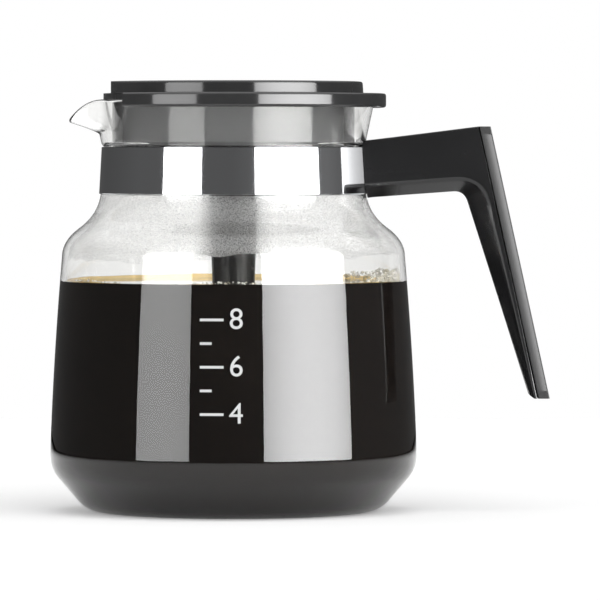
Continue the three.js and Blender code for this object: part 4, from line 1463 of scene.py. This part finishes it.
# The camera sees plain white behind the object and through glass, gloss sees the room, and the rest the sky.
world = bpy.data.worlds.new("white_studio")
bpy.context.scene.world = world
world.use_nodes = True
tree = world.node_tree
tree.nodes.clear()
ray = add_node(tree, "ShaderNodeLightPath").outputs
mirrored = add_node(
    tree, "ShaderNodeMath", {0: ray["Glossy Depth"], 1: 1.0}, operation="MINIMUM"
).outputs[0]
seen = add_node(
    tree, "ShaderNodeMath", {0: ray["Is Camera Ray"], 1: ray["Is Transmission Ray"]}, operation="MAXIMUM"
).outputs[0]
seen = add_node(
    tree, "ShaderNodeMath", {0: seen, 1: mirrored}, operation="SUBTRACT", use_clamp=True
).outputs[0]
place = add_node(tree, "ShaderNodeTexCoord")
side = add_node(tree, "ShaderNodeSeparateXYZ", {0: place.outputs["Generated"]}).outputs
room = add_node(
    tree, "ShaderNodeMapRange", {"Value": side["X"], "To Min": ROOM_LEVEL, "To Max": ROOM_RIGHT_LEVEL}
).outputs[0]
away = add_node(
    tree, "ShaderNodeMapRange", {"Value": side["Y"], "From Max": ROOM_BACK_START}
).outputs[0]
room = add_node(tree, "ShaderNodeMix", {0: away, 2: room, 3: ROOM_BACK_LEVEL}).outputs[0]
gloss = add_node(
    tree,
    "ShaderNodeMapRange",
    {
        "Value": side["Z"],
        "From Min": CEILING_START,
        "From Max": CEILING_END,
        "To Min": room,
        "To Max": CEILING_LEVEL,
    },
).outputs[0]
behind = add_node(
    tree, "ShaderNodeMapRange", {"Value": side["Y"], "From Min": BEHIND_START, "From Max": BEHIND_END}
).outputs[0]
through = add_node(
    tree, "ShaderNodeMath", {0: behind, 1: ray["Is Transmission Ray"]}, operation="MULTIPLY"
).outputs[0]
gloss = add_node(tree, "ShaderNodeMix", {0: through, 2: gloss, 3: 1.0}).outputs[0]
level = add_node(tree, "ShaderNodeMix", {0: mirrored, 2: SKY_LEVEL, 3: gloss}).outputs[0]
level = add_node(tree, "ShaderNodeMix", {0: seen, 2: level, 3: 1.0}).outputs[0]
light = add_node(tree, "ShaderNodeBackground", {"Color": (1, 1, 1, 1), "Strength": level})
add_node(tree, "ShaderNodeOutputWorld", {"Surface": light.outputs[0]})

paper, tree = new_material("white_studio_floor")
# White paper: the eye sees it evenly white, and in mirrors it fades into the room at its edge
ray = add_node(tree, "ShaderNodeLightPath").outputs
mirrored = add_node(
    tree, "ShaderNodeMath", {0: ray["Glossy Depth"], 1: 1.0}, operation="MINIMUM"
).outputs[0]
seen = add_node(
    tree, "ShaderNodeMath", {0: ray["Is Camera Ray"], 1: ray["Is Transmission Ray"]}, operation="MAXIMUM"
).outputs[0]
seen = add_node(tree, "ShaderNodeMath", {0: seen, 1: mirrored}, operation="MAXIMUM").outputs[0]
place = add_node(tree, "ShaderNodeTexCoord")
reach = add_node(
    tree, "ShaderNodeVectorMath", {0: place.outputs["Object"]}, operation="LENGTH"
).outputs["Value"]
fade = add_node(
    tree,
    "ShaderNodeMapRange",
    {"Value": reach, "From Min": FLOOR_FADE_START, "From Max": FLOOR_FADE_END},
    interpolation_type="SMOOTHSTEP",
).outputs[0]
fade = add_node(tree, "ShaderNodeMath", {0: fade, 1: mirrored}, operation="MULTIPLY").outputs[0]
tone = add_node(
    tree, "ShaderNodeMix", {"Factor": fade, 6: linear("#eeeeee"), 7: linear("#000000")}, data_type="RGBA"
)
lift = add_node(
    tree, "ShaderNodeMapRange", {"Value": mirrored, "To Min": FLOOR_LIFT, "To Max": FLOOR_MIRROR_LIFT}
).outputs[0]
lift = add_node(tree, "ShaderNodeMath", {0: seen, 1: lift}, operation="MULTIPLY").outputs[0]
lift = add_node(tree, "ShaderNodeMix", {0: fade, 2: lift, 3: 0.0}).outputs[0]
matt = add_node(tree, "ShaderNodeBsdfDiffuse", {"Color": tone.outputs[2]})
glow = add_node(tree, "ShaderNodeEmission", {"Color": (1, 1, 1, 1), "Strength": lift})
both = add_node(tree, "ShaderNodeAddShader", {0: matt.outputs[0], 1: glow.outputs[0]})
add_node(tree, "ShaderNodeOutputMaterial", {"Surface": both.outputs[0]})
ground = bmesh.new()
bmesh.ops.create_circle(ground, cap_ends=True, segments=128, radius=FLOOR_RADIUS)
floor = piece_from("studio_floor", ground)
floor.data.materials.append(paper)

sun = bpy.data.lights.new("soft_overhead", "SUN")
sun.energy = SUN_LEVEL
sun.angle = SUN_SPREAD
lamp = new_object("soft_overhead", sun)
lamp.rotation_euler = (SUN_TILT, 0, SUN_TURN)
lamp.visible_glossy = False
lamp.visible_transmission = False


def softbox_light(tree, fall):
    """Light of a softbox: even up to a height, a weak tail above it, and a fall to both sides."""
    spot = add_node(tree, "ShaderNodeNewGeometry").outputs["Parametric"]
    spot = add_node(tree, "ShaderNodeSeparateXYZ", {0: spot}).outputs
    across = add_node(tree, "ShaderNodeMath", {0: spot["X"], 1: 0.5}, operation="SUBTRACT").outputs[0]
    across = add_node(tree, "ShaderNodeMath", {0: across, 1: across}, operation="MULTIPLY").outputs[0]
    level = add_node(
        tree, "ShaderNodeMapRange", {"Value": across, "From Max": 0.25, "To Min": 1.0, "To Max": 1 - fall}
    ).outputs[0]
    body = (SOFTBOX_BRIGHT_END, SOFTBOX_TAIL_START, SOFTBOX_TAIL, "SMOOTHSTEP")
    tail = (SOFTBOX_TAIL_START, SOFTBOX_TAIL_END, 0.0, "LINEAR")
    for start, end, least, fading in (body, tail):
        share = add_node(
            tree,
            "ShaderNodeMapRange",
            {"Value": spot["Y"], "From Min": start, "From Max": end, "To Min": 1.0, "To Max": least},
            interpolation_type=fading,
        ).outputs[0]
        level = add_node(tree, "ShaderNodeMath", {0: level, 1: share}, operation="MULTIPLY").outputs[0]
    glow = add_node(tree, "ShaderNodeEmission", {"Strength": level})
    add_node(tree, "ShaderNodeOutputLight", {"Surface": glow.outputs[0]})


def softbox(name, start, end, radiance, fall):
    """A tall softbox between two angles, counted from the camera towards +X."""
    middle = (start + end) / 2
    width = 2 * SOFTBOX_DISTANCE * math.tan((end - start) / 2)
    panel = bpy.data.lights.new(name, "AREA")
    panel.shape = "RECTANGLE"
    panel.size = width
    panel.size_y = SOFTBOX_HEIGHT
    panel.energy = POWER_PER_RADIANCE * radiance * width * SOFTBOX_HEIGHT
    panel.use_nodes = True
    panel.node_tree.nodes.clear()
    softbox_light(panel.node_tree, fall)
    box = new_object(name, panel)
    out = Vector((math.sin(middle), -math.cos(middle), 0))
    box.location = out * SOFTBOX_DISTANCE + Vector((0, 0, SOFTBOX_FOOT + SOFTBOX_HEIGHT / 2))
    box.rotation_euler = out.to_track_quat("Z", "Y").to_euler()
    box.visible_camera = False
    box.visible_diffuse = False


softbox("left_softbox", start=math.radians(-61), end=math.radians(-26.4), radiance=5.5, fall=0.1)
softbox("right_softbox", start=math.radians(19), end=math.radians(78), radiance=14.2, fall=0.4)

optics = bpy.data.cameras.new("camera")
optics.sensor_width = SENSOR_WIDTH
optics.lens = SENSOR_WIDTH * CAMERA_DISTANCE / VIEW_WIDTH
optics.clip_end = FARTHEST_SEEN
camera = new_object("camera", optics)
camera.location = (AIM.x, -CAMERA_DISTANCE, CAMERA_HEIGHT)
camera.rotation_euler = (AIM - camera.location).to_track_quat("-Z", "Y").to_euler()
bpy.context.scene.camera = camera
bpy.context.scene.view_settings.view_transform = "Standard"
